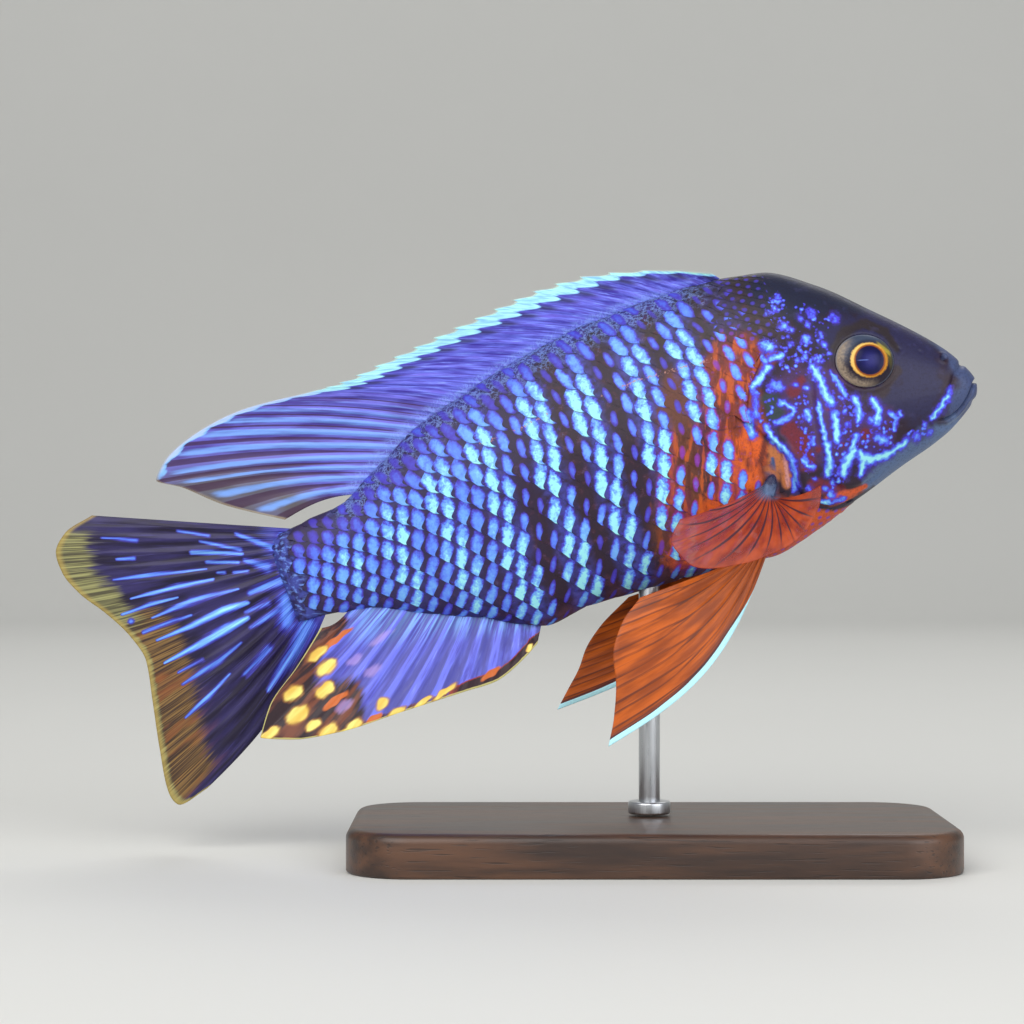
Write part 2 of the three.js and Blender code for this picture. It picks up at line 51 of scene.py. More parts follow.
# Camera
# A level lens some 400 mm from the fish's right side, at the height of the middle of the frame.
# The frame spans 144 mm at the fish.
CAMERA_PLACE = (-19.4, -400.0, 48.9)
FRAME_SPAN = 144.0

camera_data = bpy.data.cameras.new("camera")
camera_data.sensor_width = 36.0
camera_data.lens = camera_data.sensor_width * -CAMERA_PLACE[1] / FRAME_SPAN
camera_data.clip_start = 0.01
camera = bpy.data.objects.new("camera", camera_data)
camera.location = [MM * place for place in CAMERA_PLACE]
camera.rotation_euler = (math.radians(90), 0, 0)
bpy.context.scene.collection.objects.link(camera)
bpy.context.scene.camera = camera

# Colours reach the picture as they are, without a film curve over them.
bpy.context.scene.view_settings.view_transform = "Standard"


# Floor, backdrop and lights
# A pale paper sweep: a flat floor that curves up into a wall behind. Large soft lamps stand at
# the camera's left, at its right and above, and a pale sky fills in the rest.
class Wire:
    """An output of a finish's nodes. Sums, products and powers of it add the Math nodes."""

    def __init__(self, finish, socket):
        self.finish = finish
        self.socket = socket

    def __add__(self, other):
        return self.finish.maths("ADD", self, other)

    def __sub__(self, other):
        return self.finish.maths("SUBTRACT", self, other)

    def __rsub__(self, other):
        return self.finish.maths("SUBTRACT", other, self)

    def __mul__(self, other):
        return self.finish.maths("MULTIPLY", self, other)

    def __truediv__(self, other):
        return self.finish.maths("DIVIDE", self, other)

    def __pow__(self, other):
        return self.finish.maths("POWER", self, other)

    def __abs__(self):
        return self.finish.maths("ABSOLUTE", self)

    __radd__ = __add__
    __rmul__ = __mul__

    def step(self, low, high):
        """Rises smoothly from 0 to 1 between two values."""
        settings = {"interpolation_type": "SMOOTHSTEP"}
        return self.finish.node("ShaderNodeMapRange", settings, {0: self, 1: low, 2: high})


def paint(name):
    """A colour such as "c8592b" as linear red, green, blue and 1."""
    parts = [int(name[i:i + 2], 16) / 255 for i in (0, 2, 4)]
    return [c / 12.92 if c < 0.04045 else ((c + 0.055) / 1.055) ** 2.4 for c in parts] + [1.0]


class Finish:
    """A material being put together. Constants of its surface are given by socket name."""

    def __init__(self, name, **constants):
        self.material = bpy.data.materials.new(name)
        self.material.use_nodes = True
        self.tree = self.material.node_tree
        self.surface = self.tree.nodes["Principled BSDF"]
        for socket, value in constants.items():
            self.surface.inputs[socket.replace("_", " ")].default_value = value

    def node(self, kind, settings=None, sockets=None, out=0):
        """Adds a node, makes its settings, then sets or links its sockets."""
        made = self.tree.nodes.new(kind)
        for key, value in (settings or {}).items():
            setattr(made, key, value)
        for key, value in (sockets or {}).items():
            if isinstance(value, Wire):
                self.tree.links.new(value.socket, made.inputs[key])
            else:
                made.inputs[key].default_value = paint(value) if isinstance(value, str) else value
        return Wire(self, made.outputs[out])

    def maths(self, operation, *terms):
        return self.node("ShaderNodeMath", {"operation": operation}, dict(enumerate(terms)))

    def blend(self, amount, low, high):
        """A colour between two others."""
        settings = {"data_type": "RGBA", "clamp_factor": True}
        return self.node("ShaderNodeMix", settings, {0: amount, 6: low, 7: high}, out=2)

    def coats(self, tone, uneven, rows):
        """Lays colours over a tone. A row holds a coat's mark or mask, how far the uneven noise frays
        it and the values between which it fades in (both left out for a plain mask), its strength
        and its colour."""
        for mask, *fade, strength, shade in rows:
            amount = self.held(mask) if isinstance(mask, str) else mask
            if fade:
                fray, low, high = fade
                amount = (amount + (uneven - 0.5) * fray if fray else amount).step(low, high)
            tone = self.blend(amount if strength == 1 else amount * strength, tone, shade)
        return tone

    def place(self, stretch=(1, 1, 1)):
        """Object coordinates, in metres, squeezed along each axis."""
        here = self.node("ShaderNodeTexCoord", out="Object")
        return self.node("ShaderNodeVectorMath", {"operation": "MULTIPLY"}, {0: here, 1: stretch})

    def noise(self, size, detail=3.0, where=None, stretch=(1, 1, 1)):
        """Cloudy noise from 0 to 1 whose blots are about size across, in mm."""
        sockets = {"Vector": where or self.place(stretch), "Scale": 1 / (size * MM), "Detail": detail}
        return self.node("ShaderNodeTexNoise", None, sockets)

    def held(self, name, out="Fac"):
        """An attribute that the piece carries on its vertices."""
        return self.node("ShaderNodeAttribute", {"attribute_name": name}, out=out)

    def bump(self, height, depth, strength=1.0, under=None):
        """A bump of the given depth in mm."""
        sockets = {"Height": height, "Distance": depth * MM, "Strength": strength}
        if under:
            sockets["Normal"] = under
        return self.node("ShaderNodeBump", None, sockets)

    def wear(self, **wires):
        """Links what varies over the surface to the shader."""
        for socket, wire in wires.items():
            self.tree.links.new(wire.socket, self.surface.inputs[socket.replace("_", " ")])


def new_piece(name, bm, finish):
    """Makes a smooth-shaded object from a bmesh in mm, with its place in its mesh."""
    bmesh.ops.scale(bm, verts=bm.verts, vec=(MM, MM, MM))
    mesh = bpy.data.meshes.new(name)
    bm.to_mesh(mesh)
    bm.free()
    mesh.shade_smooth()
    mesh.materials.append(finish.material)
    piece = bpy.data.objects.new(name, mesh)
    bpy.context.scene.collection.objects.link(piece)
    return piece


FLOOR_HALF = 2500.0
FLOOR_FRONT = -3000.0
WALL_PLACE = 1300.0
WALL_HEIGHT = 2200.0
COVE = 450.0
COVE_STEPS = 24

paper = Finish("studio_paper", Roughness=0.7)
paper_cloud = paper.noise(240.0, 4.0)
paper.wear(Base_Color=paper.blend(paper_cloud, "dcdcd8", "e2e2de"),
           Normal=paper.bump(paper.noise(1.2), 0.05, 0.3))


def parts_of(made, kind):
    """The vertices, or the edges, among what an operator made."""
    return [item for item in made if isinstance(item, kind)]


bm = bmesh.new()
front = bm.edges.new([bm.verts.new((x, FLOOR_FRONT, 0)) for x in (-FLOOR_HALF, FLOOR_HALF)])
made = bmesh.ops.extrude_edge_only(bm, edges=[front])["geom"]
moved, turned = parts_of(made, bmesh.types.BMVert), parts_of(made, bmesh.types.BMEdge)
bmesh.ops.translate(bm, verts=moved, vec=(0, WALL_PLACE - COVE - FLOOR_FRONT, 0))
cove = bmesh.ops.spin(bm, geom=moved + turned, cent=(0, WALL_PLACE - COVE, COVE), axis=(1, 0, 0),
                      dvec=(0, 0, 0), angle=math.radians(90), steps=COVE_STEPS)["geom_last"]
made = bmesh.ops.extrude_edge_only(bm, edges=parts_of(cove, bmesh.types.BMEdge))["geom"]
bmesh.ops.translate(bm, verts=parts_of(made, bmesh.types.BMVert), vec=(0, 0, WALL_HEIGHT - COVE))
bmesh.ops.remove_doubles(bm, verts=bm.verts, dist=0.01)
bmesh.ops.recalc_face_normals(bm, faces=bm.faces)
sweep = new_piece("studio_sweep", bm, paper)


def soft_lamp(name, place, aim, width, height, power, colour=(1, 1, 1)):
    """An area lamp that stands at place and points at aim, all in mm."""
    lamp_data = bpy.data.lights.new(name, "AREA")
    lamp_data.shape = "RECTANGLE"
    lamp_data.size = width * MM
    lamp_data.size_y = height * MM
    lamp_data.energy = power
    lamp_data.color = colour
    lamp = bpy.data.objects.new(name, lamp_data)
    away = np.array(place, float) - np.array(aim, float)
    lamp.location = [MM * p for p in place]
    turn = math.atan2(away[1], away[0]) + math.pi / 2
    lamp.rotation_euler = (math.atan2(math.hypot(away[0], away[1]), away[2]), 0, turn)
    lamp.visible_camera = False
    bpy.context.scene.collection.objects.link(lamp)


FISH_MIDDLE = (-15.0, 0.0, 50.0)
soft_lamp("key_lamp", (-420, -760, 700), FISH_MIDDLE, 950, 950, 9.5, (1.0, 0.985, 0.96))
soft_lamp("fill_lamp", (620, -700, 360), FISH_MIDDLE, 900, 600, 5.0, (0.95, 0.97, 1.0))
soft_lamp("rim_lamp", (120, 640, 720), FISH_MIDDLE, 620, 380, 1.5)

world = bpy.data.worlds.new("studio_air")
world.use_nodes = True
world.node_tree.nodes["Background"].inputs["Color"].default_value = (0.80, 0.81, 0.83, 1)
world.node_tree.nodes["Background"].inputs["Strength"].default_value = 0.42
bpy.context.scene.world = world

# Stand base
# A slab of dark walnut with rounded corners and a softened edge, sanded, oiled and waxed. It is
# planed from one board, so its grain runs along its length and shows on its ends.
BASE_CORNER = 9.0
BASE_SOFTENING = 1.3
CREASE = math.radians(40)

walnut = Finish("walnut", Roughness=0.42, Coat_Weight=0.25, Coat_Roughness=0.25)
waver = walnut.noise(9.0, 2.0)
grain = walnut.node("ShaderNodeVectorMath", {"operation": "MULTIPLY_ADD"},
                    {0: waver, 1: (0.8 * MM, 0.8 * MM, 0.8 * MM), 2: walnut.place((0.09, 1, 1))})
rings = walnut.noise(2.6, 5.0, grain)
pores = walnut.noise(0.35, 2.0, stretch=(0.06, 1, 1)).step(0.58, 0.7)
wood_tone = walnut.blend(rings.step(0.3, 0.7), "2b1a12", "5a3a25")
wood_tone = walnut.blend(pores * 0.6, wood_tone, "170d09")
walnut.wear(Base_Color=wood_tone,
            Roughness=0.34 + 0.2 * rings,
            Normal=walnut.bump(rings * 0.4 - pores, 0.04, 0.7))


def soften(bm, edges, radius, segments):
    """Rounds edges off."""
    bmesh.ops.bevel(bm, geom=edges, offset=radius, offset_type="OFFSET", affect="EDGES",
                    segments=segments, profile=0.5, material=-1)


low, high = [np.array(corner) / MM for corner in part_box("stand_base")]
bm = bmesh.new()
bmesh.ops.create_cube(bm, size=1.0)
bmesh.ops.scale(bm, verts=bm.verts, vec=high - low)
bmesh.ops.translate(bm, verts=bm.verts, vec=(high + low) / 2)
soften(bm, [e for e in bm.edges if abs(e.verts[0].co.z - e.verts[1].co.z) > 1], BASE_CORNER, 12)
soften(bm, [e for e in bm.edges if min(v.co.z for v in e.verts) > high[2] - 0.01], BASE_SOFTENING, 6)
soften(bm, [e for e in bm.edges if max(v.co.z for v in e.verts) < low[2] + 0.01], BASE_SOFTENING / 3, 3)
base = new_piece("base_slab", bm, walnut)
base.data.set_sharp_from_angle(angle=CREASE)
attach(base, "root")
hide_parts("stand_base")

# Stand rod
# A round rod of drawn stainless steel, brushed along its length, pressed through a turned
# collar into the base and up into the fish's belly.
ROD_RADIUS = 1.5
ROD_Y = 1.9
COLLAR_RADIUS = 3.0
COLLAR_HEIGHT = 1.8
ROD_SUNK = 1.0

steel = Finish("brushed_steel", Metallic=1.0)
brushing = steel.noise(0.12, 3.0, stretch=(1, 1, 0.03))
steel.wear(Base_Color=steel.blend(brushing, "a9adb2", "d3d5d8"),
           Roughness=0.2 + 0.22 * brushing,
           Normal=steel.bump(brushing, 0.01, 0.5))


def turned_part(bm, radius, low, high, softening):
    """Adds an upright round bar with softened ends."""
    made = bmesh.ops.create_cone(bm, cap_ends=True, segments=48, radius1=radius, radius2=radius,
                                 depth=high - low)["verts"]
    bmesh.ops.translate(bm, verts=made, vec=(0, ROD_Y, (low + high) / 2))
    ends = {e for v in made for e in v.link_edges if abs(e.verts[0].co.z - e.verts[1].co.z) < 0.01}
    soften(bm, list(ends), softening, 4)


low, high = [np.array(corner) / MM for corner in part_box("stand_rod")]
bm = bmesh.new()
turned_part(bm, ROD_RADIUS, low[2], high[2] + ROD_SUNK, 0.2)
turned_part(bm, COLLAR_RADIUS, low[2], low[2] + COLLAR_HEIGHT, 0.35)
rod = new_piece("rod_and_collar", bm, steel)
rod.data.set_sharp_from_angle(angle=CREASE)
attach(rod, "root")
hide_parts("stand_rod")

# Skin
# The cast body from the lips to the root of the tail, in one piece: lips, nostrils, eye sockets
# and gill covers are modelled in it. It is airbrushed in thin coats, dark along the back and
# orange at the breast, with light-reflecting blue laid on in spots and streaks, and varnished.
SNOUT = np.array([45.9, 0.0, 66.8])
MID_BACK = np.array([-1.4, 0.0, 58.9])
TAIL_ROOT = np.array([-49.3, 7.0, 40.1])
# Share of the midline, back height, belly depth, half width, back keel, belly keel
SECTIONS = [
    [0.0, 0, 0, 0, 0.95, 0.95],
    [0.01, 2.4, 2.5, 2.9, 0.95, 0.95],
    [0.04, 5.9, 5.1, 4.5, 0.95, 1.0],
    [0.08, 9.2, 7.3, 5.6, 0.92, 1.05],
    [0.13, 12.9, 9.4, 6.7, 0.92, 1.1],
    [0.2, 18.0, 12.6, 7.8, 1.0, 1.1],
    [0.27, 21.4, 15.7, 8.4, 1.1, 1.05],
    [0.35, 22.1, 18.0, 8.5, 1.15, 1.0],
    [0.5, 21.0, 17.9, 8.0, 1.2, 0.95],
    [0.62, 18.8, 17.8, 6.9, 1.2, 1.0],
    [0.69, 16.9, 18.8, 6.0, 1.15, 1.1],
    [0.78, 14.2, 14.9, 4.8, 1.1, 1.1],
    [0.86, 10.2, 11.4, 3.7, 1.05, 1.05],
    [0.92, 7.3, 8.4, 3.0, 1.0, 1.0],
    [1.0, 6.9, 6.8, 2.3, 1.0, 1.0],
    [1.03, 6.3, 6.2, 0.5, 1.0, 1.0],
]
BODY_END = 1.03
HEAD_END = 0.36
SKIN_RINGS = 262
SKIN_SIDES = 340
HEAD_SPACING = 0.21
TRUNK_SPACING = 0.9
SCALE_DEPTH = 0.28
MIDLINE_LENGTH = 98.5


def through(rows, column, warp=lambda x: x):
    """A smooth curve through rows of [x, ...values] that never overshoots between two rows."""
    x = warp(np.array([row[0] for row in rows], float))
    y = np.array([row[column] for row in rows], float)
    slope = np.diff(y) / np.diff(x)
    product = slope[:-1] * slope[1:]
    total = slope[:-1] + slope[1:]
    inner = np.where(product > 0, 2 * product / np.where(product > 0, total, 1), 0)
    lean = np.concatenate([slope[:1], inner, slope[-1:]])

    def curve(value):
        v = np.clip(warp(np.asarray(value, float)), x[0], x[-1])
        i = np.clip(np.searchsorted(x, v) - 1, 0, len(x) - 2)
        h = x[i + 1] - x[i]
        s = (v - x[i]) / h
        first = y[i] * (1 + 2 * s) * (1 - s) ** 2 + lean[i] * h * s * (1 - s) ** 2
        return first + y[i + 1] * s * s * (3 - 2 * s) + lean[i + 1] * h * s * s * (s - 1)

    return curve


back_height, belly_depth, half_width, back_keel, belly_keel = [
    through(SECTIONS, column, np.sqrt) for column in range(1, 6)]


def unit(vectors):
    return vectors / np.maximum(np.linalg.norm(vectors, axis=-1, keepdims=True), 1e-9)


def midline(t):
    t = np.asarray(t, float)[..., None]
    return (1 - t) ** 2 * SNOUT + 2 * t * (1 - t) * MID_BACK + t * t * TAIL_ROOT


def frame_at(t):
    """Centre of the body at a share of the midline, and the directions tailward, left and up."""
    along = unit(midline(t + 0.001) - midline(t - 0.001))
    left = unit(np.cross(along, [0, 0, 1]))
    return midline(t), along, left, np.cross(left, along)


def body_point(t, angle, grow=0.0):
    """A point of the body: angle 0 is the back, a quarter turn the left side, half the belly."""
    t, angle = np.broadcast_arrays(np.asarray(t, float), np.asarray(angle, float))
    centre, along, left, up = frame_at(t)
    rise, spread = np.cos(angle), np.sin(angle)
    above = rise >= 0
    keel = np.where(above, back_keel(t), belly_keel(t))
    height = np.where(above, back_height(t), belly_depth(t)) + grow
    width = half_width(t) + grow
    rise = np.sign(rise) * np.abs(rise) ** keel
    spread = np.sign(spread) * np.abs(spread) ** keel
    return centre + up * (height * rise)[..., None] + left * (width * spread)[..., None]


def body_normal(t, angle):
    """The outward direction of the body's surface."""
    t, angle = np.broadcast_arrays(np.asarray(t, float), np.asarray(angle, float))
    low = np.maximum(t - 0.002, 0.0004)
    tailward = body_point(t + 0.002, angle) - body_point(low, angle)
    round_it = body_point(t, angle + 0.01) - body_point(t, angle - 0.01)
    return unit(np.cross(round_it, tailward))


def smoothstep(value, low, high):
    s = np.clip((value - low) / (high - low), 0, 1)
    return s * s * (3 - 2 * s)


def smooth_line(points, count=40):
    """A smooth line that passes through every point."""
    points = np.array(points, float)
    ends = np.vstack([points[:1], points, points[-1:]])
    place = np.linspace(0, len(points) - 1, count + 1)
    i = np.minimum(place.astype(int), len(points) - 2)
    s = (place - i)[:, None]
    p0, p1, p2, p3 = (ends[i + k] for k in range(4))
    v0, v1 = (p2 - p0) / 2, (p3 - p1) / 2
    return (2 * p1 - 2 * p2 + v0 + v1) * s ** 3 + (3 * p2 - 3 * p1 - 2 * v0 - v1) * s ** 2 + v0 * s + p1


def off_line(x, z, line):
    """Distance from a line in side view, positive on the left of its travel, and the share along."""
    best = np.full(x.shape, np.inf)
    signed = np.zeros(x.shape)
    share = np.zeros(x.shape)
    steps = np.linalg.norm(np.diff(line[:, :2], axis=0), axis=1)
    start = np.concatenate([[0], np.cumsum(steps)])
    for i, step in enumerate(steps):
        (ax, az), (bx, bz) = line[i, :2], line[i + 1, :2]
        dx, dz = (bx - ax) / step, (bz - az) / step
        s = np.clip((x - ax) * dx + (z - az) * dz, 0, step)
        fx, fz = x - ax - dx * s, z - az - dz * s
        distance = np.hypot(fx, fz)
        nearer = distance < best
        best = np.where(nearer, distance, best)
        side = np.where(dx * fz - dz * fx >= 0, 1, -1)
        signed = np.where(nearer, distance * side, signed)
        share = np.where(nearer, (start[i] + s) / start[-1], share)
    return signed, share


def stroke(x, z, points):
    """1 on a brush stroke through points of (x, z, radius), 0 at its radius and less beyond."""
    best = np.full(x.shape, -9.0)
    if len(points) == 1:
        points = points * 2
    for (ax, az, ar), (bx, bz, br) in zip(points, points[1:]):
        length = max((bx - ax) ** 2 + (bz - az) ** 2, 1e-6)
        s = np.clip(((x - ax) * (bx - ax) + (z - az) * (bz - az)) / length, 0, 1)
        distance = np.hypot(x - ax - s * (bx - ax), z - az - s * (bz - az))
        best = np.maximum(best, 1 - distance / (ar + s * (br - ar)))
    return best


def ripple(x, z, size=3.0, shift=0.0):
    """A smooth uneven field from about -1 to 1 with waves about size long."""
    k = 2 * math.pi / size
    total = np.zeros(x.shape)
    for i in range(6):
        turn = 1.1 * i + 0.7 * shift
        pitch = k * (0.7 + 0.17 * i)
        total += np.sin(pitch * (x * math.cos(turn) + z * math.sin(turn)) + 2.3 * i * i + shift)
    return total / 3.2


def locate(x, z):
    """The share of the midline that each point in side view lies beside, and its height off it."""
    shares = np.linspace(0, 1.1, 400)
    t = np.interp(-x, -midline(shares)[:, 0], shares)
    point = np.stack([x, np.zeros(x.shape), z], axis=-1)
    for _ in range(4):
        centre, along, left, up = frame_at(t)
        t = np.clip(t + ((point - centre) * along * [1, 0, 1]).sum(-1) / MIDLINE_LENGTH, 0, 1.08)
    centre, along, left, up = frame_at(t)
    return t, ((point - centre) * up * [1, 0, 1]).sum(-1)


# Gill cover: its free edge from the nape round to the throat, in side view
GILL_EDGE = smooth_line([
    (18.6, 74.2), (16.6, 72.4), (14.9, 69.6), (13.4, 66), (13.1, 62.3), (14.6, 60.2), (17, 58.2),
    (18.9, 55.9), (19.8, 53.4), (20.8, 51.5), (22.8, 50.3), (25.4, 49.9), (28, 50.9), (31, 52.9),
    (33.6, 54.6),
])
PREOPERCLE = smooth_line([
    (23.2, 70.6), (22.3, 67), (22.6, 62), (23.6, 57.5), (24.6, 54), (26.6, 52.4), (29.6, 53), (33, 56)])
MOUTH_LINE = smooth_line([
    (46.4, 67.4), (45.4, 67.1), (44.5, 65.2), (43.5, 63.6), (42.4, 62.5), (41.2, 61.8), (39.6, 61.5)])
UPPER_LIP_EDGE = smooth_line([
    (44.3, 70.4), (43.4, 69.5), (42.3, 67.8), (41.7, 65.9), (41, 64.2), (40, 62.6), (39.3, 61.9)])
LOWER_LIP_EDGE = smooth_line([
    (46.6, 64.6), (45.2, 64.3), (44.2, 62.9), (43, 61.7), (41.5, 60.8), (40, 60.9), (39.3, 61.3)])
EYE_PLACE = (29.4, 69.8)
EYE_OPENING = (4.15, 3.75)
NOSTRIL = (40.7, 70.4)
PORES = [(34.6, 61), (33, 60.6), (36.3, 60.3), (25.4, 67.3), (26.3, 65.6), (28.2, 64.9), (34.4, 71.6),
         (37.4, 71.2)]
BRANCHIAL_FOLDS = [
    smooth_line([(22.5, 48.9), (26, 48.3), (29.5, 49.6), (33.5, 52.8)]),
    smooth_line([(24, 47.4), (27.5, 47.2), (31, 49), (34.6, 51.8)]),
]


def ridge(distance, width):
    return np.exp(-(distance / width) ** 2)


def relief(x, z):
    """How far the head's features stand out of the plain body, in mm."""
    height = np.zeros(x.shape)
    off, share = off_line(x, z, GILL_EDGE)
    ends = smoothstep(share, 0.0, 0.16) * smoothstep(1 - share, 0.04, 0.25)
    inside = smoothstep(off, -0.14, 0.14)
    flap = 0.42 * np.exp(-np.maximum(off, 0) / 2.6) * inside
    hollow = -0.4 * np.exp(-np.maximum(-off, 0) / 1.3) * (1 - inside)
    height += (flap + hollow) * ends
    height += 0.1 * ridge(off - 1.15, 0.3) * ends

    off, share = off_line(x, z, PREOPERCLE)
    ends = smoothstep(share, 0, 0.12) * smoothstep(1 - share, 0, 0.25)
    height += (0.26 * ridge(off - 0.55, 0.55) - 0.24 * ridge(off + 0.25, 0.34)) * ends

    mouth, share = off_line(x, z, MOUTH_LINE)
    above, _ = off_line(x, z, UPPER_LIP_EDGE)
    below, _ = off_line(x, z, LOWER_LIP_EDGE)
    fade = smoothstep(1 - share, 0.0, 0.5)
    ahead = smoothstep(x, 38.4, 40)
    upper = (mouth > 0) & (above < 0)
    lower = (mouth < 0) & (below > 0)
    other_edge = np.abs(np.where(mouth > 0, above, below))
    across = np.abs(mouth) / np.maximum(np.abs(mouth) + other_edge, 0.01)
    roll = np.sqrt(np.maximum(1 - (2 * across - 1) ** 2, 0))
    height += np.where(upper, 0.42 * roll, 0) * (0.35 + 0.65 * fade) * ahead
    height += np.where(lower, 0.36 * roll, 0) * (0.35 + 0.65 * fade) * ahead
    height -= 0.85 * ridge(mouth, 0.22) * smoothstep(1 - share, -0.05, 0.2)
    height -= (0.2 + 0.22 * fade) * ridge(above, 0.42) * ahead
    height -= 0.25 * ridge(below, 0.4) * smoothstep(x, 38.8, 41)

    reach = np.hypot((x - EYE_PLACE[0]) / EYE_OPENING[0], (z - EYE_PLACE[1]) / EYE_OPENING[1])
    height += 0.12 * ridge(reach - 1.1, 0.08)
    height -= 1.7 * smoothstep(0.985 - reach, 0, 0.12)

    reach = np.hypot(x - NOSTRIL[0], z - NOSTRIL[1])
    height += 0.16 * ridge(reach - 0.62, 0.2) - 0.75 * smoothstep(0.52 - reach, 0, 0.3)
    for px, pz in PORES:
        height -= 0.16 * ridge(np.hypot(x - px, z - pz), 0.22)
    for fold in BRANCHIAL_FOLDS:
        off, share = off_line(x, z, fold)
        ends = smoothstep(share, 0, 0.3) * smoothstep(1 - share, 0, 0.3)
        height += (0.16 * ridge(off - 0.35, 0.3) - 0.2 * ridge(off, 0.22)) * ends
    return height


# Airbrushed coats, each a colour and strokes of (x, z, radius) in side view, laid on in order
BODY_TONE = "2b1c2c"
COATS = [
    ("2f292e", [[(12, 82, 7), (2, 79, 6.5), (-10, 76, 5.5), (-22, 70.5, 5), (-34, 63, 4), (-46, 53, 3)]]),
    ("33282c", [[(14, 77, 5), (7, 75, 5.5), (3, 74, 4)], [(-3, 73, 3.4), (-1, 76, 3.4)]]),
    ("593c4a", [[(8, 38, 5), (0, 36.5, 5), (-9, 33, 5), (-16, 30, 4)]]),
    ("5e3426", [[(3.6, 66, 3.6), (3.2, 60, 4), (4.5, 52, 4), (3, 46, 4)]]),
    ("7a3018", [[(10, 70, 3), (13, 71, 3), (15.4, 70, 2.4)],
                [(10, 68, 4.4), (12.5, 63, 4.4), (12, 56, 4.6)]]),
    ("cf581e", [[(12.8, 58, 3.6), (12.4, 51, 4.4), (8, 45.5, 4.6), (4.5, 43, 3)],
                [(18, 47, 4.6), (25, 47, 4), (31, 50, 3), (35.5, 53.5, 1.6)]]),
    ("c24a2c", [[(15, 43, 5.5), (22, 43.6, 5), (28, 47.4, 3.4)], [(12, 38.5, 5), (18, 40, 5)]]),
    ("1d2138", [[(20, 84, 6.5), (28, 81, 6.5), (33, 77, 5.5)], [(17, 80, 5), (22, 79, 5)]]),
    # A painted highlight: a paler slate-blue band along the top edge of the forehead and snout.
    ("2b4066", [[(31, 79.5, 2.8), (36, 76, 2.6), (40, 73.4, 2.2)]]),
    ("272547", [[(25, 73, 4), (33, 74, 4), (37, 70, 5), (37, 65, 5), (34, 65, 4)]]),
    ("424e74", [[(41.6, 72, 2), (44, 69, 2.4), (45, 66, 3), (43, 62.6, 3)]]),
    ("54698f", [[(42, 60, 3), (38, 57.2, 3.2), (34, 55, 2.8), (30.5, 52.8, 1.8)]]),
    ("472c56", [[(24, 66, 4), (24, 59, 4.5), (28, 60, 4), (31, 60.5, 4), (21, 58, 4), (20, 66, 4)]]),
    ("6a2433", [[(19.4, 65.6, 1.3), (20.4, 67, 1)], [(19, 60.4, 1.6), (20.6, 58, 1.6), (21.6, 55.4, 1.4)],
                [(24.1, 63.1, 0.5)], [(22.9, 57.6, 0.7)], [(26.2, 58.2, 0.5)], [(29.6, 59.6, 1)],
                [(22.5, 52.8, 1.4), (26.4, 52, 1)]]),
    ("2f3c3e", [[(16.4, 64.2, 1.9), (16.8, 62.6, 1.7)]]),
    ("b0683a", [[(16.8, 58.4, 1.0), (17, 55.6, 1.4), (16.6, 53.4, 1.6)],
                [(18.2, 55.4, 1.1), (18.7, 52.7, 1)]]),
    ("6c2a1c", [[(15.5, 58.5, 0.45), (14.9, 55.6, 0.5), (15.2, 52.6, 0.5)],
                [(13.1, 58.6, 0.4), (12.9, 53.4, 0.5)]]),
    ("41507a", [[(16.6, 56.2, 0.35), (16.7, 53.8, 0.6), (16.5, 51.6, 1.0)]]),
    ("c88a84", [[(18.2, 57.0, 0.3), (18.6, 54.6, 0.35), (18.8, 52.4, 0.3)]]),
    ("2c2429", [[(25.2, 71.4, 0.8), (26.7, 74, 1), (29.4, 75, 1), (32.4, 74, 0.9), (34, 71.4, 0.7)]]),
    ("31242b", [[(33.9, 68.6, 0.9), (32, 65.5, 1), (29, 64.8, 0.9)]]),
    ("c9552b", [[(24.5, 50.9, 0.5), (27.6, 51.6, 0.7), (30, 52.4, 0.5)]]),
    ("1d1a33", [[(22.3, 49.8, 0.4), (25.4, 49.3, 0.5), (28.3, 50.3, 0.45), (31.4, 52.4, 0.3)]]),
]
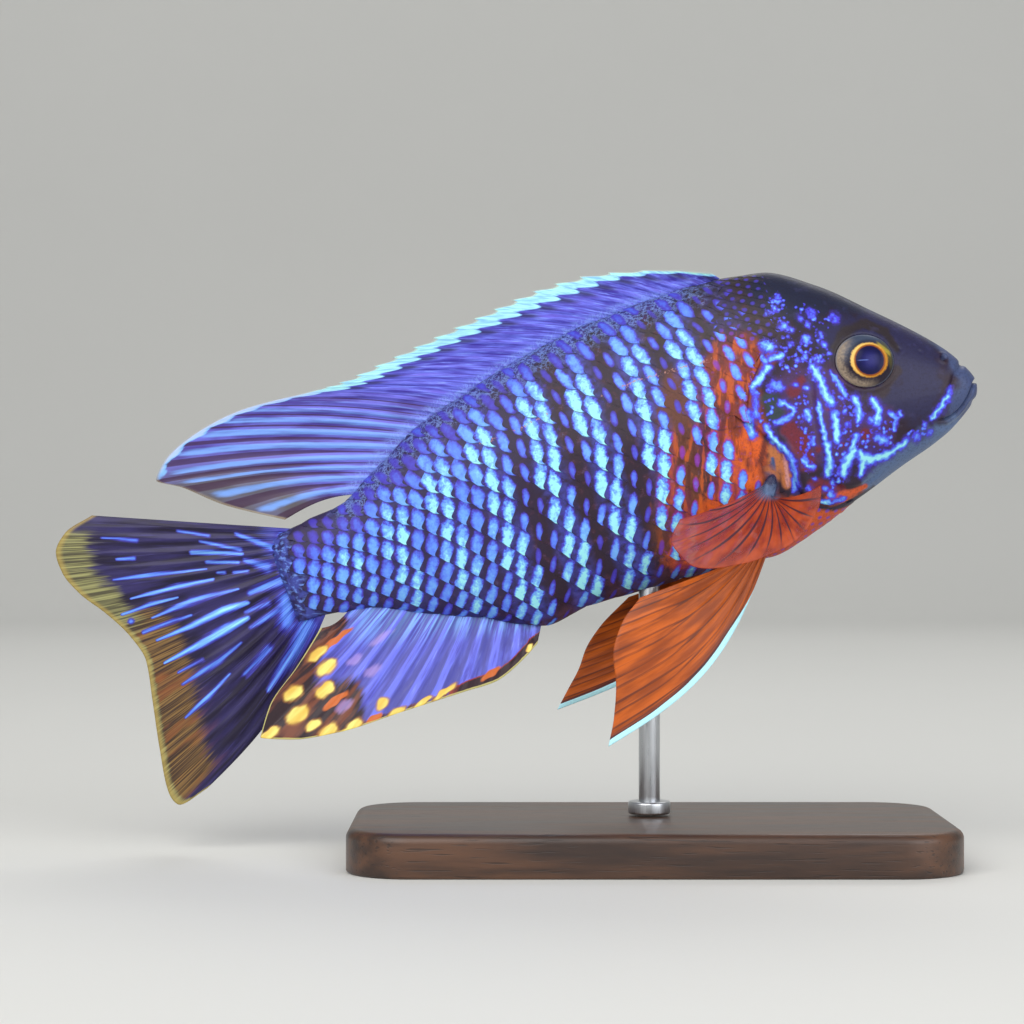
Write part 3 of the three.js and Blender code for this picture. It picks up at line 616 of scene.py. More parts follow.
# Light-reflecting streaks of the head, the last two being a painted highlight along the upper lip: radius,
# shine, and the line of (x, z) in side view
STREAKS = [
    (0.5, 1.0, [(22.2, 68.9), (23.2, 67.0), (23.9, 65.0), (24.7, 63.9)]),
    (0.45, 1.1, [(25.1, 62.4), (25.4, 60.4), (25.5, 58.9)]),
    (0.26, 0.8, [(22.8, 64.0), (23.3, 61.0), (24.0, 58.3)]),
    (0.42, 1.05, [(24.0, 58.3), (24.5, 55.9), (24.3, 54.2)]),
    (0.24, 0.65, [(24.7, 68.1), (25.8, 66.5), (26.6, 64.9)]),
    (0.4, 0.9, [(27.9, 64.7), (28.5, 63.3), (28.5, 61.7)]),
    (0.45, 1.0, [(30.4, 64.3), (31.3, 63.3), (31.0, 61.2)]),
    (0.2, 0.6, [(32.8, 62.7), (33.8, 61.8), (33.5, 60.3)]),
    (0.32, 0.8, [(28.2, 59.4), (27.7, 57.8)]),
    (0.6, 1.15, [(27.8, 57.2), (26.9, 55.7), (26.5, 54.4)]),
    (0.75, 1.2, [(29.4, 56.4), (30.4, 56.2)]),
    (0.4, 1.1, [(28.8, 57.2), (29.4, 55.9), (29.1, 54.3)]),
    (0.5, 1.0, [(30.4, 56.3), (31.5, 56.4), (33.0, 57.0)]),
    (0.36, 0.8, [(33.0, 57.0), (35.0, 58.3), (35.5, 58.9)]),
    (0.5, 0.6, [(31.3, 59.3), (32.3, 58.7)]),
    (0.85, 1.1, [(15.7, 72.0), (16.0, 71.9)]),
    (0.3, 0.85, [(16.3, 69.9), (18.0, 70.6)]),
    (0.26, 0.6, [(14.7, 70.6), (15.7, 69.7)]),
    (0.42, 1.0, [(16.0, 68.9), (14.5, 66.8), (13.6, 66.2)]),
    (0.5, 0.45, [(16.6, 66.5), (17.5, 66.1)]),
    (0.3, 0.3, [(14.2, 65.4), (14.3, 62.0)]),
    (0.3, 0.8, [(17.6, 64.1), (19.4, 63.1)]),
    (0.26, 0.6, [(19.7, 62.8), (18.2, 61.6), (17.0, 61.2)]),
    (0.32, 0.75, [(21.2, 62.8), (21.6, 61.7)]),
    (0.5, 0.75, [(13.1, 62.5), (13.4, 60.9), (13.7, 59.6)]),
    (0.34, 0.9, [(15.7, 60.6), (16.5, 59.1), (18.3, 57.4)]),
    (0.3, 0.5, [(18.3, 57.4), (19.3, 56.0), (19.7, 53.8), (19.9, 51.9)]),
    (0.24, 0.5, [(22.1, 59.1), (22.2, 58.2)]),
    (0.28, 0.8, [(20.8, 56.2), (21.4, 55.3), (22.1, 55.1)]),
    (0.25, 0.7, [(22.6, 50.4), (24.5, 50.4)]),
    (0.16, 0.35, [(24.5, 50.3), (26.9, 51.0)]),
    # A painted highlight: a pale sheen along the fold of the upper lip, back to the corner of the mouth.
    (0.24, 0.35, [(41.6, 66.2), (41.3, 65.1)]),
    (0.36, 0.95, [(41.2, 64.9), (40.1, 63.3), (39.1, 62.0)]),
]
# Its single reflecting dots: radius, shine, x, z
DOTS = [
    (0.4, 0.6, 30.2, 61.6), (0.3, 0.6, 34.3, 62.5), (0.3, 0.7, 21.2, 66.0), (0.26, 0.5, 19.7, 66.4),
    (0.3, 0.5, 17.5, 78.8), (0.3, 0.8, 17.1, 77.2), (0.35, 0.5, 16.1, 76.6), (0.4, 0.8, 18.3, 74.7),
    (0.3, 0.6, 19.3, 74.2), (0.5, 0.9, 21.3, 72.8), (0.35, 0.4, 21.6, 75.0), (0.3, 0.5, 23.4, 73.4),
    (0.3, 0.6, 23.8, 72.0), (0.3, 0.4, 20.5, 75.8), (0.5, 0.3, 22.1, 76.5), (0.5, 0.25, 25.4, 75.9),
    (0.22, 0.6, 20.0, 70.0), (0.2, 0.6, 21.2, 70.4), (0.22, 0.7, 22.5, 70.0), (0.2, 0.5, 23.4, 69.7),
    (0.2, 0.5, 24.4, 70.9), (0.3, 0.5, 19.2, 72.1), (0.3, 0.6, 25.1, 53.0), (0.4, 0.7, 24.9, 51.4),
    (0.2, 0.5, 22.5, 53.5), (0.3, 0.4, 21.7, 52.3), (0.3, 0.4, 24.0, 52.2), (0.3, 0.6, 26.9, 60.9),
    (0.25, 0.5, 26.5, 62.8), (0.26, 0.45, 37.9, 61.1), (0.5, 0.35, 36.9, 59.4), (0.35, 0.3, 38.8, 59.9),
]
# Where the fine dots lie thickest
SPECKLED = [
    [(17.5, 78, 2.4), (17.6, 74, 3), (19, 70, 3.6), (22.5, 73, 3), (22.5, 68, 2.6)],
    [(25.6, 66, 1.6), (28.2, 62.4, 2.2), (26.2, 57.6, 1.8), (25.4, 53, 1.6)],
    [(16.6, 66, 1.6), (15.4, 61, 1.4)], [(21, 77, 2), (24.4, 75.4, 1.6)],
    [(20.6, 64, 2.2), (21, 60, 2), (21.6, 55, 1.6)],
    [(29, 58.6, 2.4), (33, 60.6, 2.2), (32.4, 57.4, 1.6)], [(36, 59.4, 1.4), (38.6, 60.6, 1.2)],
]


def ground(x, z):
    """The airbrushed colour of skin and scales, linear, for points in side view."""
    wobble = ripple(x, z, 4.2) + 0.6 * ripple(x, z, 1.5, 2.0)
    colour = np.tile(paint(BODY_TONE)[:3], x.shape + (1,))
    for shade, strokes in COATS:
        amount = np.max([stroke(x, z, points) for points in strokes], axis=0)
        amount = smoothstep(amount + 0.16 * wobble, 0.0, 0.55)[..., None]
        colour = colour * (1 - amount) + np.array(paint(shade)[:3]) * amount
    return colour


def streaks(x, z):
    """How bright the head's reflecting streaks and the painted highlight on the upper lip are: up to 1 along
    their middle, under 0 off them.
    """
    best = np.full(x.shape, -9.0)
    bent_x = x + 0.16 * ripple(x, z, 1.3, 1.0)
    bent_z = z + 0.16 * ripple(x, z, 1.3, 4.0)
    for radius, shine, points in STREAKS + [(radius, shine, [(px, pz)]) for radius, shine, px, pz in DOTS]:
        value = stroke(bent_x, bent_z, [(px, pz, radius * 1.08 + 0.1) for px, pz in points])
        best = np.maximum(best, np.where(value > 0, np.abs(value) ** 1.25 * shine * 1.1, value))
    return best


def speckled(x, z):
    """How thickly the small reflecting dots lie."""
    return np.clip(np.max([stroke(x, z, points) for points in SPECKLED], axis=0) * 1.6, 0, 1)


def network(x, z):
    """How strongly the wisps of blue at the root of the dorsal fin show."""
    t, height = locate(x, z)
    below = back_height(t) - height
    return smoothstep(5.4 - below, 0, 4.8) * smoothstep(t, 0.3, 0.42) * smoothstep(0.95 - t, 0, 0.05)


SKIN_HALO = "4a40dc"
BLUE = "5578ea"
AZURE = "6ea8ee"
CYAN = "98e4ee"


def iridescence(finish, under, value, halo):
    """Reflecting paint where value rises above 0: violet at its rim, then blue, then near-white."""
    rows = [(value, 0, -0.35, 0.12, 1, halo), (value, 0, 0.0, 0.32, 1, BLUE),
            (value, 0, 0.25, 0.62, 1, AZURE), (value, 0, 0.6, 1.0, 1, CYAN)]
    return finish.coats(under, None, rows)


def wisps(finish):
    """Curled threads, where two cloudy noises pass through their middle value."""
    first = abs(finish.noise(0.9, 5.0, stretch=(0.5, 1, 1)) - 0.5)
    second = abs(finish.noise(0.6, 5.0, stretch=(1, 1, 0.5)) - 0.52)
    return finish.maths("MAXIMUM", first.step(0.055, 0.0), second.step(0.05, 0.0))


skin = Finish("cichlid_skin", Specular_IOR_Level=0.25, Coat_Weight=0.06, Coat_Roughness=0.15,
              Subsurface_Weight=0.06, Subsurface_Radius=(1.2 * MM, 0.6 * MM, 0.5 * MM))
fine = skin.noise(0.32, 4.0)
coarse = skin.noise(1.3, 3.0)
grain = skin.noise(0.09, 2.0)
beads = skin.noise(0.6, 2.0)
fibre = skin.noise(0.5, 4.0, stretch=(0.2, 1, 1))
bright = skin.held("streak")
rooted = skin.held("rooted")
streak = bright * 1.15 + (fine - 0.5) * 0.5 + (beads - 0.5) * 1.1
near = (bright + (fine - 0.5) * 1.6 + (coarse - 0.5) * 1.4).step(-1.1, 0.1)
dots = skin.node("ShaderNodeTexVoronoi", None, {"Vector": skin.place(), "Scale": 1 / (0.7 * MM)})
dot = skin.held("speckle") * (0.85 + coarse.step(0.36, 0.6) * 0.4 + (beads - 0.5) * 2.0) - dots * 1.7 - 0.5
tone = skin.coats(skin.held("tone", "Color"), fine, [
    (fine, 0, 0.45, 0.72, 0.34, "1f1624"),
    (coarse, 0, 0.55, 0.75, 0.2, "4a4878"),
    (near, 0.6, "40309a"),
])
tone = iridescence(skin, tone, dot, SKIN_HALO)
tone = skin.coats(tone, fine, [
    (rooted, 0.8, skin.blend(coarse.step(0.4, 0.6), "28255f", "4450ac")),
    (rooted * fibre.step(0.5, 0.68), 0.8, "7296ea"),
    (skin.held("network") * wisps(skin), 0.7, "7f9ce4"),
])
tone = iridescence(skin, tone, streak, SKIN_HALO)
skin_bump = skin.bump(grain, 0.02, 0.5, skin.bump(fine, 0.05, 0.5))
skin.wear(Base_Color=tone, Roughness=0.34 + 0.2 * fine, Normal=skin_bump)


def set_held(mesh, name, values):
    """Stores one number, or one colour, for each vertex of a mesh."""
    if values.ndim == 1:
        mesh.attributes.new(name, "FLOAT", "POINT").data.foreach_set("value", values.astype(np.float32))
    else:
        colour = np.concatenate([values, np.ones((len(values), 1))], axis=1).astype(np.float32)
        mesh.attributes.new(name, "FLOAT_COLOR", "POINT").data.foreach_set("color", colour.ravel())


def places_of(mesh):
    """A mesh's vertices as an array of x, y, z."""
    flat = np.empty(len(mesh.vertices) * 3, np.float32)
    mesh.vertices.foreach_get("co", flat)
    return flat.reshape(-1, 3).astype(float)


def set_places(mesh, places):
    mesh.vertices.foreach_set("co", places.astype(np.float32).ravel())
    mesh.update()


def mark(mesh, x, z):
    """Lays the markings that skin and scales share on a mesh."""
    set_held(mesh, "tone", ground(x, z))
    set_held(mesh, "streak", streaks(x, z))
    set_held(mesh, "speckle", speckled(x, z))
    set_held(mesh, "network", network(x, z))
    set_held(mesh, "rooted", smoothstep(locate(x, z)[0], 0.985, 1.008))


# Rings lie closer together on the head.
share = np.linspace(0, 1, 6001) ** 2 * BODY_END
girth = (back_height(share) + belly_depth(share) + half_width(share)) / 3
step = np.hypot(np.diff(share) * MIDLINE_LENGTH, np.diff(girth))
spacing = HEAD_SPACING + (TRUNK_SPACING - HEAD_SPACING) * smoothstep(share[1:], HEAD_END, HEAD_END + 0.05)
count = np.concatenate([[0], np.cumsum(step / spacing)])
ring_share = np.interp(np.linspace(0, count[-1], SKIN_RINGS), count, share)

bm = bmesh.new()
bmesh.ops.create_grid(bm, x_segments=SKIN_RINGS - 1, y_segments=SKIN_SIDES, size=0.5)
mesh = bpy.data.meshes.new("grid")
bm.to_mesh(mesh)
flat = places_of(mesh) + 0.5
t = ring_share[np.rint(flat[:, 0] * (SKIN_RINGS - 1)).astype(int)]
turn = 2 * math.pi * np.rint(flat[:, 1] * SKIN_SIDES) / SKIN_SIDES
angle = turn + 0.15 * np.sin(2 * turn)
plain = body_point(t, angle)
normal = body_normal(t, angle)
normal[t <= 0] = -frame_at(0.0)[1]
inset = SCALE_DEPTH * smoothstep(t, 0.26, 0.33) * (1 - smoothstep(t, 0.995, 1.02))
places = plain + normal * (relief(plain[:, 0], plain[:, 2]) - inset)[:, None]
places[t <= 0] = places[t <= 0].mean(axis=0)
set_places(mesh, places)
mark(mesh, plain[:, 0], plain[:, 2])
bm.clear()
bm.from_mesh(mesh)
bmesh.ops.remove_doubles(bm, verts=bm.verts, dist=0.002)
bmesh.ops.holes_fill(bm, edges=bm.edges, sides=0)
bmesh.ops.recalc_face_normals(bm, faces=bm.faces)
body_skin = new_piece("body_skin", bm, skin)
bpy.data.meshes.remove(mesh)
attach(body_skin, "root")
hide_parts("head", "lower_jaw", "gill_cover_left", "gill_cover_right", "trunk", "tail_stalk")

# Scales
# Thin cast plates in diagonal rows, each with its front edge sunk in the skin and its pointed
# rear edge lying over the next one. A reflecting patch is laid on the middle of each, bright in
# some columns and faint in others, so that the flanks look barred.
FIRST_COLUMN_X = 17.4
COLUMN_PITCH = 2.15
COLUMNS = 34
# Light bars, each by where it crosses the middle of the flank and how bright it is
BARS = [(16.0, 0.3), (9.2, 0.8), (1.4, 1.0), (-6.7, 1.0), (-14.4, 1.0), (-22.8, 1.0), (-30.7, 0.95),
        (-38.8, 0.8), (-46.5, 0.5)]
BAR_LEAN = 0.3
BAR_MIDDLE = 56.0
COLUMN_LEAN = 0.06
COLUMN_BEND = 0.017
ROW_PITCH = [[0.2, 2.7], [0.33, 2.95], [0.41, 3.15], [0.48, 3.4], [0.55, 3.65], [0.62, 3.5], [0.77, 2.95],
             [0.95, 2.3], [1.03, 2.1]]
SCALE_LENGTH = 4.9
SCALE_HALF = 0.74
CORE_BACK = 1.75
SMALL_PITCH = 1.25
SMALL_ROW = 1.5
SMALL_LENGTH = 2.9
SCALE_ALONG = 5
SCALE_ACROSS = 6
PLATE_THICKNESS = 0.07
PLATE_MAP = 10
SIDES = ((-1, "right"), (1, "left"))

row_pitch = through(ROW_PITCH, 1)

# Arc length round the body, from the middle of the flank, for each share of the midline
ARC_SHARES = np.linspace(0.0, BODY_END, 207)
ARC_TURNS = np.linspace(0.0, math.pi, 181)
MID_TURN = 90
ARC_COLUMNS = 160
arc_points = body_point(ARC_SHARES[:, None], ARC_TURNS[None, :])
arc_steps = np.linalg.norm(np.diff(arc_points, axis=1), axis=2)
arc_length = np.concatenate([np.zeros((len(ARC_SHARES), 1)), np.cumsum(arc_steps, axis=1)], axis=1)
arc_up = arc_length[:, MID_TURN]
arc_down = arc_length[:, -1] - arc_up


def arc_row(lengths):
    """The angles at even steps of arc, from the middle of the belly (-1) to that of the back (1)."""
    off = lengths[MID_TURN] - lengths[::-1]
    shares = np.where(off > 0, off / lengths[MID_TURN], off / (lengths[-1] - lengths[MID_TURN]))
    return np.interp(np.linspace(-1, 1, ARC_COLUMNS + 1), shares, ARC_TURNS[::-1])


arc_table = np.array([arc_row(lengths) for lengths in arc_length[1:]])
arc_table = np.vstack([arc_table[:1], arc_table])


def turn_at(t, arc):
    """The angle on the body that lies an arc length above (or below) the middle of the flank."""
    limit = np.where(arc > 0, np.interp(t, ARC_SHARES, arc_up), np.interp(t, ARC_SHARES, arc_down))
    share = arc / limit
    beyond = np.maximum(np.abs(share) - 0.9, 0)
    share = np.where(beyond > 0, np.sign(share) * (0.9 + 0.1 * (1 - np.exp(-beyond / 0.1))), share)
    row = np.clip(t / BODY_END, 0, 1) * (len(ARC_SHARES) - 1)
    column = (share + 1) * ARC_COLUMNS / 2
    i = np.minimum(row.astype(int), len(ARC_SHARES) - 2)
    j = np.clip(column.astype(int), 0, ARC_COLUMNS - 1)
    fi, fj = row - i, column - j
    near = arc_table[i, j] * (1 - fj) + arc_table[i, j + 1] * fj
    far = arc_table[i + 1, j] * (1 - fj) + arc_table[i + 1, j + 1] * fj
    return near * (1 - fi) + far * fi


scales = Finish("scales", Specular_IOR_Level=0.25, Coat_Weight=0.08, Coat_Roughness=0.15)
on_plate = scales.node("ShaderNodeUVMap", {"uv_map": "scale"})
back_mm, across_mm = [(scales.node("ShaderNodeSeparateXYZ", None, {0: on_plate}, out=axis) - 0.5) * PLATE_MAP
                      for axis in (0, 1)]
level, pitch, tilt, size, bar, warm, lace, lower = [scales.held(mark) for mark in (
    "level", "pitch", "tilt", "size", "bar", "warm", "network", "lower")]
fine = scales.noise(0.28, 4.0)
coarse = scales.noise(1.1, 3.0)
mottle = scales.noise(0.6, 3.0)
drawn = scales.noise(0.8, 4.0, stretch=(1, 1, 0.22))
low = across_mm + pitch * 0.22
slant = back_mm - low * tilt - 0.15 * size.step(0.4, 1.1)
wide = 0.36 + 0.6 * size
tall = pitch * (0.26 + 0.48 * size)
reach = abs(slant / wide) ** 2 + abs(low / tall) ** 2.4
inside = 1 - reach + (fine - 0.5) * 0.4 + (coarse - 0.5) * 1.5
halo = scales.blend(warm, "4638b8", "84309a")
# Painted shade: a thin dark line along each plate's rear and lower margins, in its lower half only, as if
# the margin shaded the plate under it. It is stronger in the light bars and towards the tail.
rim = scales.maths("MAXIMUM", scales.held("along").step(0.955, 0.985), lower.step(0.9, 0.97))
rim = rim * lower.step(-0.3, 0.1)
edge = scales.maths("MINIMUM", 0.15 + 0.65 * bar + 0.35 * scales.held("astern"), 0.85)
value = inside.step(-0.3, 1.0) * (0.2 + 0.7 * level) + inside.step(0.5, 1.1) * 0.15 * level
value = value + ((fine - 0.5) * 0.6 + (mottle - 0.5) * 1.5) * level - inside.step(0.0, -0.5) * 0.4
tone = scales.coats(scales.held("tone", "Color"), coarse, [
    (fine, 0, 0.45, 0.75, 0.35, "1d1522"),
    (coarse, 0, 0.5, 0.75, 0.3, "6a3036"),
    (warm * drawn.step(0.5, 0.62), 0.55, "d8621e"),
    (warm * drawn.step(0.47, 0.36), 0.6, "4c1c12"),
    ("astern", 0.4, "322f66"),
    (bar * coarse.step(0.25, 0.65), 0.7, scales.blend(warm, "4046a4", "7c2c48")),
    (inside.step(-0.8, 0.1) * level * (0.42 + 0.38 * warm), 1, halo),
    (lace, 1.2, 0.55, 1.1, 0.4, "4642a0"),
    ((lace + (coarse - 0.5) * 1.4).step(0.1, 0.9) * wisps(scales), 0.6, "7f9ce4"),
])
tone = iridescence(scales, tone, value - 0.25 * level.step(0.25, 0.0), halo)
tone = scales.coats(tone, fine, [
    # The painted shade along the plates' lower rear margins.
    (rim * edge, 1, "17163a"),
    ("lateral", 2.4, 0.6, 0.9, 0.8, "b07c72"),
])
tone = iridescence(scales, tone, scales.held("streak") + (fine - 0.5) * 1.1 - 0.08, halo)
scales.wear(Base_Color=tone, Roughness=0.34 + 0.22 * fine,
            Normal=scales.bump(scales.noise(0.09, 2.0), 0.02, 0.5, scales.bump(fine, 0.04, 0.5)))

WARM_STROKES = [[(11.4, 71, 4), (11, 64, 6), (10, 57, 7), (10, 50, 8), (5, 44, 5)],
                [(3.6, 58, 3), (3.6, 50, 4)]]
LATERAL_LINES = [smooth_line([(-7.3, 64.8), (-1.8, 67.2), (3.8, 68.8), (12, 71)]),
                 smooth_line([(-24, 58.4), (-19, 60.2), (-14.4, 62.7)])]


def bars(x, z):
    """1 along the middle of each light bar, down to 0 between them."""
    along = x + BAR_LEAN * (z - BAR_MIDDLE) + 0.45 * ripple(x, z, 9.0, 5.0)
    return np.max([shine * (1 - smoothstep(np.abs(along - place), 1.3, 3.0)) for place, shine in BARS],
                  axis=0)


def set_map(mesh, name, places):
    """Stores a UV map, from one place for each vertex."""
    corner_of = np.empty(len(mesh.loops), np.int64)
    mesh.loops.foreach_get("vertex_index", corner_of)
    layer = mesh.uv_layers.new(name=name)
    layer.data.foreach_set("uv", places[corner_of].astype(np.float32).ravel())


def plated_side(name, side, plates):
    """Lays copies of one plate, each with its place (share, arc), length, half height and level."""
    count = len(plates)
    bm = bmesh.new()
    bmesh.ops.create_grid(bm, x_segments=SCALE_ALONG, y_segments=SCALE_ACROSS, size=0.5)
    bmesh.ops.solidify(bm, geom=bm.faces[:], thickness=PLATE_THICKNESS)
    bmesh.ops.recalc_face_normals(bm, faces=bm.faces)
    template = bpy.data.meshes.new("plate")
    bm.to_mesh(template)
    bm.free()
    copier = bpy.data.objects.new("plate", template)
    bpy.context.scene.collection.objects.link(copier)
    array = copier.modifiers.new("copies", "ARRAY")
    array.use_relative_offset = False
    array.count = count
    graph = bpy.context.evaluated_depsgraph_get()
    mesh = bpy.data.meshes.new_from_object(copier.evaluated_get(graph))
    corners = len(template.vertices)
    bpy.data.objects.remove(copier)
    bpy.data.meshes.remove(template)

    local = places_of(mesh).reshape(count, corners, 3)
    along = local[..., 0] + 0.5
    across = local[..., 1] * 2
    under = np.where(local[..., 2] < -0.03, 1.0, 0.0)
    t_centre, arc_centre, length, half, level, tilt, size = [plates[:, i:i + 1] for i in range(7)]
    rear = 1 - 0.12 * np.abs(across) ** 2.0
    front = 0.08 * np.abs(across) ** 2
    share = front + (rear - front) * along
    back = (share - 1) * length + CORE_BACK * length / SCALE_LENGTH
    t = np.clip(t_centre + back / MIDLINE_LENGTH, 0.02, BODY_END)
    narrow = np.sqrt(1 - (np.maximum(along - 0.35, 0) / 0.68) ** 2)
    turn = turn_at(t, arc_centre + across * half * narrow)
    angle = side * turn
    surface = body_point(t, angle)
    outward = body_normal(t, angle)
    off, share_of_edge = off_line(surface[..., 0], surface[..., 2], GILL_EDGE)
    tucked = smoothstep(off, -0.4, 0.8) * smoothstep(share_of_edge, 0.0, 0.1)
    seeds = np.random.default_rng(7 + side).normal(0, 1, (count, 1))
    lift = -0.09 + 0.1 * along - 0.02 * across - 0.01 * across ** 2 + 0.004 * seeds * across
    lift = lift - 0.04 * under - 0.55 * tucked - 0.2 * smoothstep(t, 1.0, BODY_END)
    places = surface + outward * (lift * np.minimum(length / SCALE_LENGTH, 1))[..., None]
    set_places(mesh, places.reshape(-1, 3))
    x, z = surface[..., 0].ravel(), surface[..., 2].ravel()
    off_lateral = np.min([np.abs(off_line(x, z, line)[0]) for line in LATERAL_LINES], axis=0)
    marks = {
        "tone": ground(x, z),
        "streak": streaks(x, z) - 4.0 * ((x < 12.6) & (x > -46)),
        "network": network(x, z),
        "warm": np.clip(np.max([stroke(x, z, points) for points in WARM_STROKES], axis=0) * 2, 0, 1),
        "along": along.ravel(),
        "bar": bars(x, z) * (x < 14) * (1 - 0.5 * smoothstep(-14 - x, 0, 14)),
        "lateral": 1 - off_lateral / 0.5,
        "lower": -across.ravel(),
        "astern": smoothstep(-12 - x, 0, 14),
    }
    for mark, value in (("level", level), ("tilt", tilt), ("size", size), ("pitch", half / SCALE_HALF)):
        marks[mark] = np.repeat(value[:, 0], corners)
    for mark, values in marks.items():
        set_held(mesh, mark, values)

    plate_mm = np.stack([back.ravel(), (across * half * narrow).ravel()], axis=1)
    set_map(mesh, "scale", plate_mm / PLATE_MAP + 0.5)
    root_turn = turn_at(t_centre[:, 0], arc_centre[:, 0]) / (2 * math.pi)
    root = np.stack([t_centre[:, 0] / BODY_END, root_turn if side > 0 else 1 - root_turn], axis=1)
    patch = np.stack([along.ravel() - 0.5, across.ravel() / 2], axis=1) * 0.003
    set_map(mesh, "OFBake", np.repeat(root, corners, axis=0) + patch)

    bm = bmesh.new()
    bm.from_mesh(mesh)
    bpy.data.meshes.remove(mesh)
    bmesh.ops.recalc_face_normals(bm, faces=bm.faces)
    piece = new_piece(name, bm, scales)
    piece.data.set_sharp_from_angle(angle=CREASE)
    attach(piece, "root")
    return piece


def side_place(t, arc):
    """Where a place on the right flank lies in side view, and its height off the midline."""
    point = body_point(t, -turn_at(t, arc))
    centre, along, left, up = frame_at(t)
    return point[..., 0], point[..., 2], ((point - centre) * up).sum(-1), -along[..., 2] / -along[..., 0]


def flank_plates(seed):
    """The large plates of one flank, in columns that stand upright in side view."""
    random = np.random.default_rng(seed)
    shares = np.linspace(0, BODY_END, 300)
    plates = []
    for column in range(COLUMNS):
        middle = np.interp(-(FIRST_COLUMN_X - column * COLUMN_PITCH), -midline(shares)[:, 0], shares)
        for row in range(-12, 13):
            t = np.array(middle)
            for _ in range(3):
                arc = (row + 0.5 * (column % 2)) * row_pitch(t)
                x, z, height, slope = side_place(t, arc)
                lean = COLUMN_BEND * height ** 2 if height > 0 else -COLUMN_LEAN * height
                t = middle + (lean - slope * height) / MIDLINE_LENGTH
            up, down = np.interp(t, ARC_SHARES, arc_up), np.interp(t, ARC_SHARES, arc_down)
            pitch = row_pitch(t)
            if t > 0.999 or t < 0.2 or arc > up - 0.2 * pitch or arc < -down + 0.2 * pitch:
                continue
            off, share = off_line(np.array([x]), np.array([z]), GILL_EDGE)
            if off[0] > 1.0 or (off[0] > -1.2 and share[0] < 0.02):
                continue
            if off[0] > -4.6 and 0.32 < share[0] < 0.76:
                continue
            base = 0.1 + 0.2 * smoothstep(-12 - x, 0, 12) + 0.1 * smoothstep(-34 - x, 0, 8)
            level = base + (1 - base) * bars(np.array([x]), np.array([z]))[0]
            level = np.clip(level * (1 + random.normal(0, 0.16)) + random.normal(0, 0.03), 0.05, 1.15)
            near_keel = smoothstep(arc + down, 0.5, 6.0)
            size = max(level, 0.85 * smoothstep(-14 - x, 0, 12)) * (0.45 + 0.55 * near_keel)
            size = min(size + 0.14 * smoothstep(-12 - x, 0, 12), 1.0)
            size *= 0.45 + 0.55 * smoothstep(up - arc, 1.0, 7.0)
            level *= 0.12 + 0.88 * smoothstep(up - arc, 3.0, 10.0)
            level *= 0.5 + 0.5 * near_keel
            tilt = -0.1 + 0.026 * height * (1 + 1.2 * smoothstep(t, 0.6, 0.85)) + random.normal(0, 0.07)
            plates.append((t, arc, SCALE_LENGTH, SCALE_HALF * pitch, level, np.clip(tilt, -0.7, 0.45), size))
    return np.array(plates, float)


def small_plates():
    """The small plates of the nape and of the breast, ahead of the flank's."""
    plates = []
    for column in range(60):
        t = 0.14 + column * SMALL_PITCH / MIDLINE_LENGTH
        up, down = np.interp(t, ARC_SHARES, arc_up), np.interp(t, ARC_SHARES, arc_down)
        for row in range(-24, 25):
            arc = (row + 0.5 * (column % 2)) * SMALL_ROW
            if arc > up - 0.4 or arc < -down + 0.4:
                continue
            x, z, height, slope = side_place(np.array(t), np.array(arc))
            off, share = off_line(np.array([x]), np.array([z]), GILL_EDGE)
            nape = arc > 0 and x > 10.5 - 0.25 * (82 - z) and x < 17.5 and z > 73
            breast = arc < 0 and x > 14.6 and x < 33 and z < 50
            if off[0] < 0.4 and (nape or breast):
                plates.append((t, arc, SMALL_LENGTH, 0.62 * SMALL_ROW, 0.0, 0.0, 0.0))
    return np.array(plates, float)


for side, word in SIDES:
    plated_side("scales_" + word, side, flank_plates(3))
    plated_side("small_scales_" + word, side, small_plates())

# Eyes
# Cast glass eyes with a dark pupil inside a narrow gold ring. Round it the ball is smoke-blue,
# paler at its lower rear. Each is set in its socket so that a thin fold of skin holds it.
EYE_RADII = (4.15, 3.75, 1.75)
EYE_SUNK = 0.35
PUPIL_RISE = 0.22
EYE_TURN = math.radians(8)
EYE_TILT = math.radians(12)
PUPIL_PLACE = (29.95, 69.85)
PUPIL_RADIUS = 2.03
RING_PLACE = (29.9, 69.88)
RING_RADII = (2.64, 2.42)

glass = Finish("eye_glass", Specular_IOR_Level=0.12, Coat_Weight=0.05, Coat_Roughness=0.25)
here = glass.node("ShaderNodeTexCoord", out="Object")
eye_x, eye_z = [glass.node("ShaderNodeSeparateXYZ", None, {0: here}, out=axis) / MM for axis in (0, 2)]
flecks = glass.noise(0.3, 4.0)
cloud = glass.noise(1.6, 3.0)


def from_middle(place, radii=(1, 1)):
    """How far out the surface lies from a place in side view, in radii."""
    return (((eye_x - place[0]) / radii[0]) ** 2 + ((eye_z - place[1]) / radii[1]) ** 2) ** 0.5


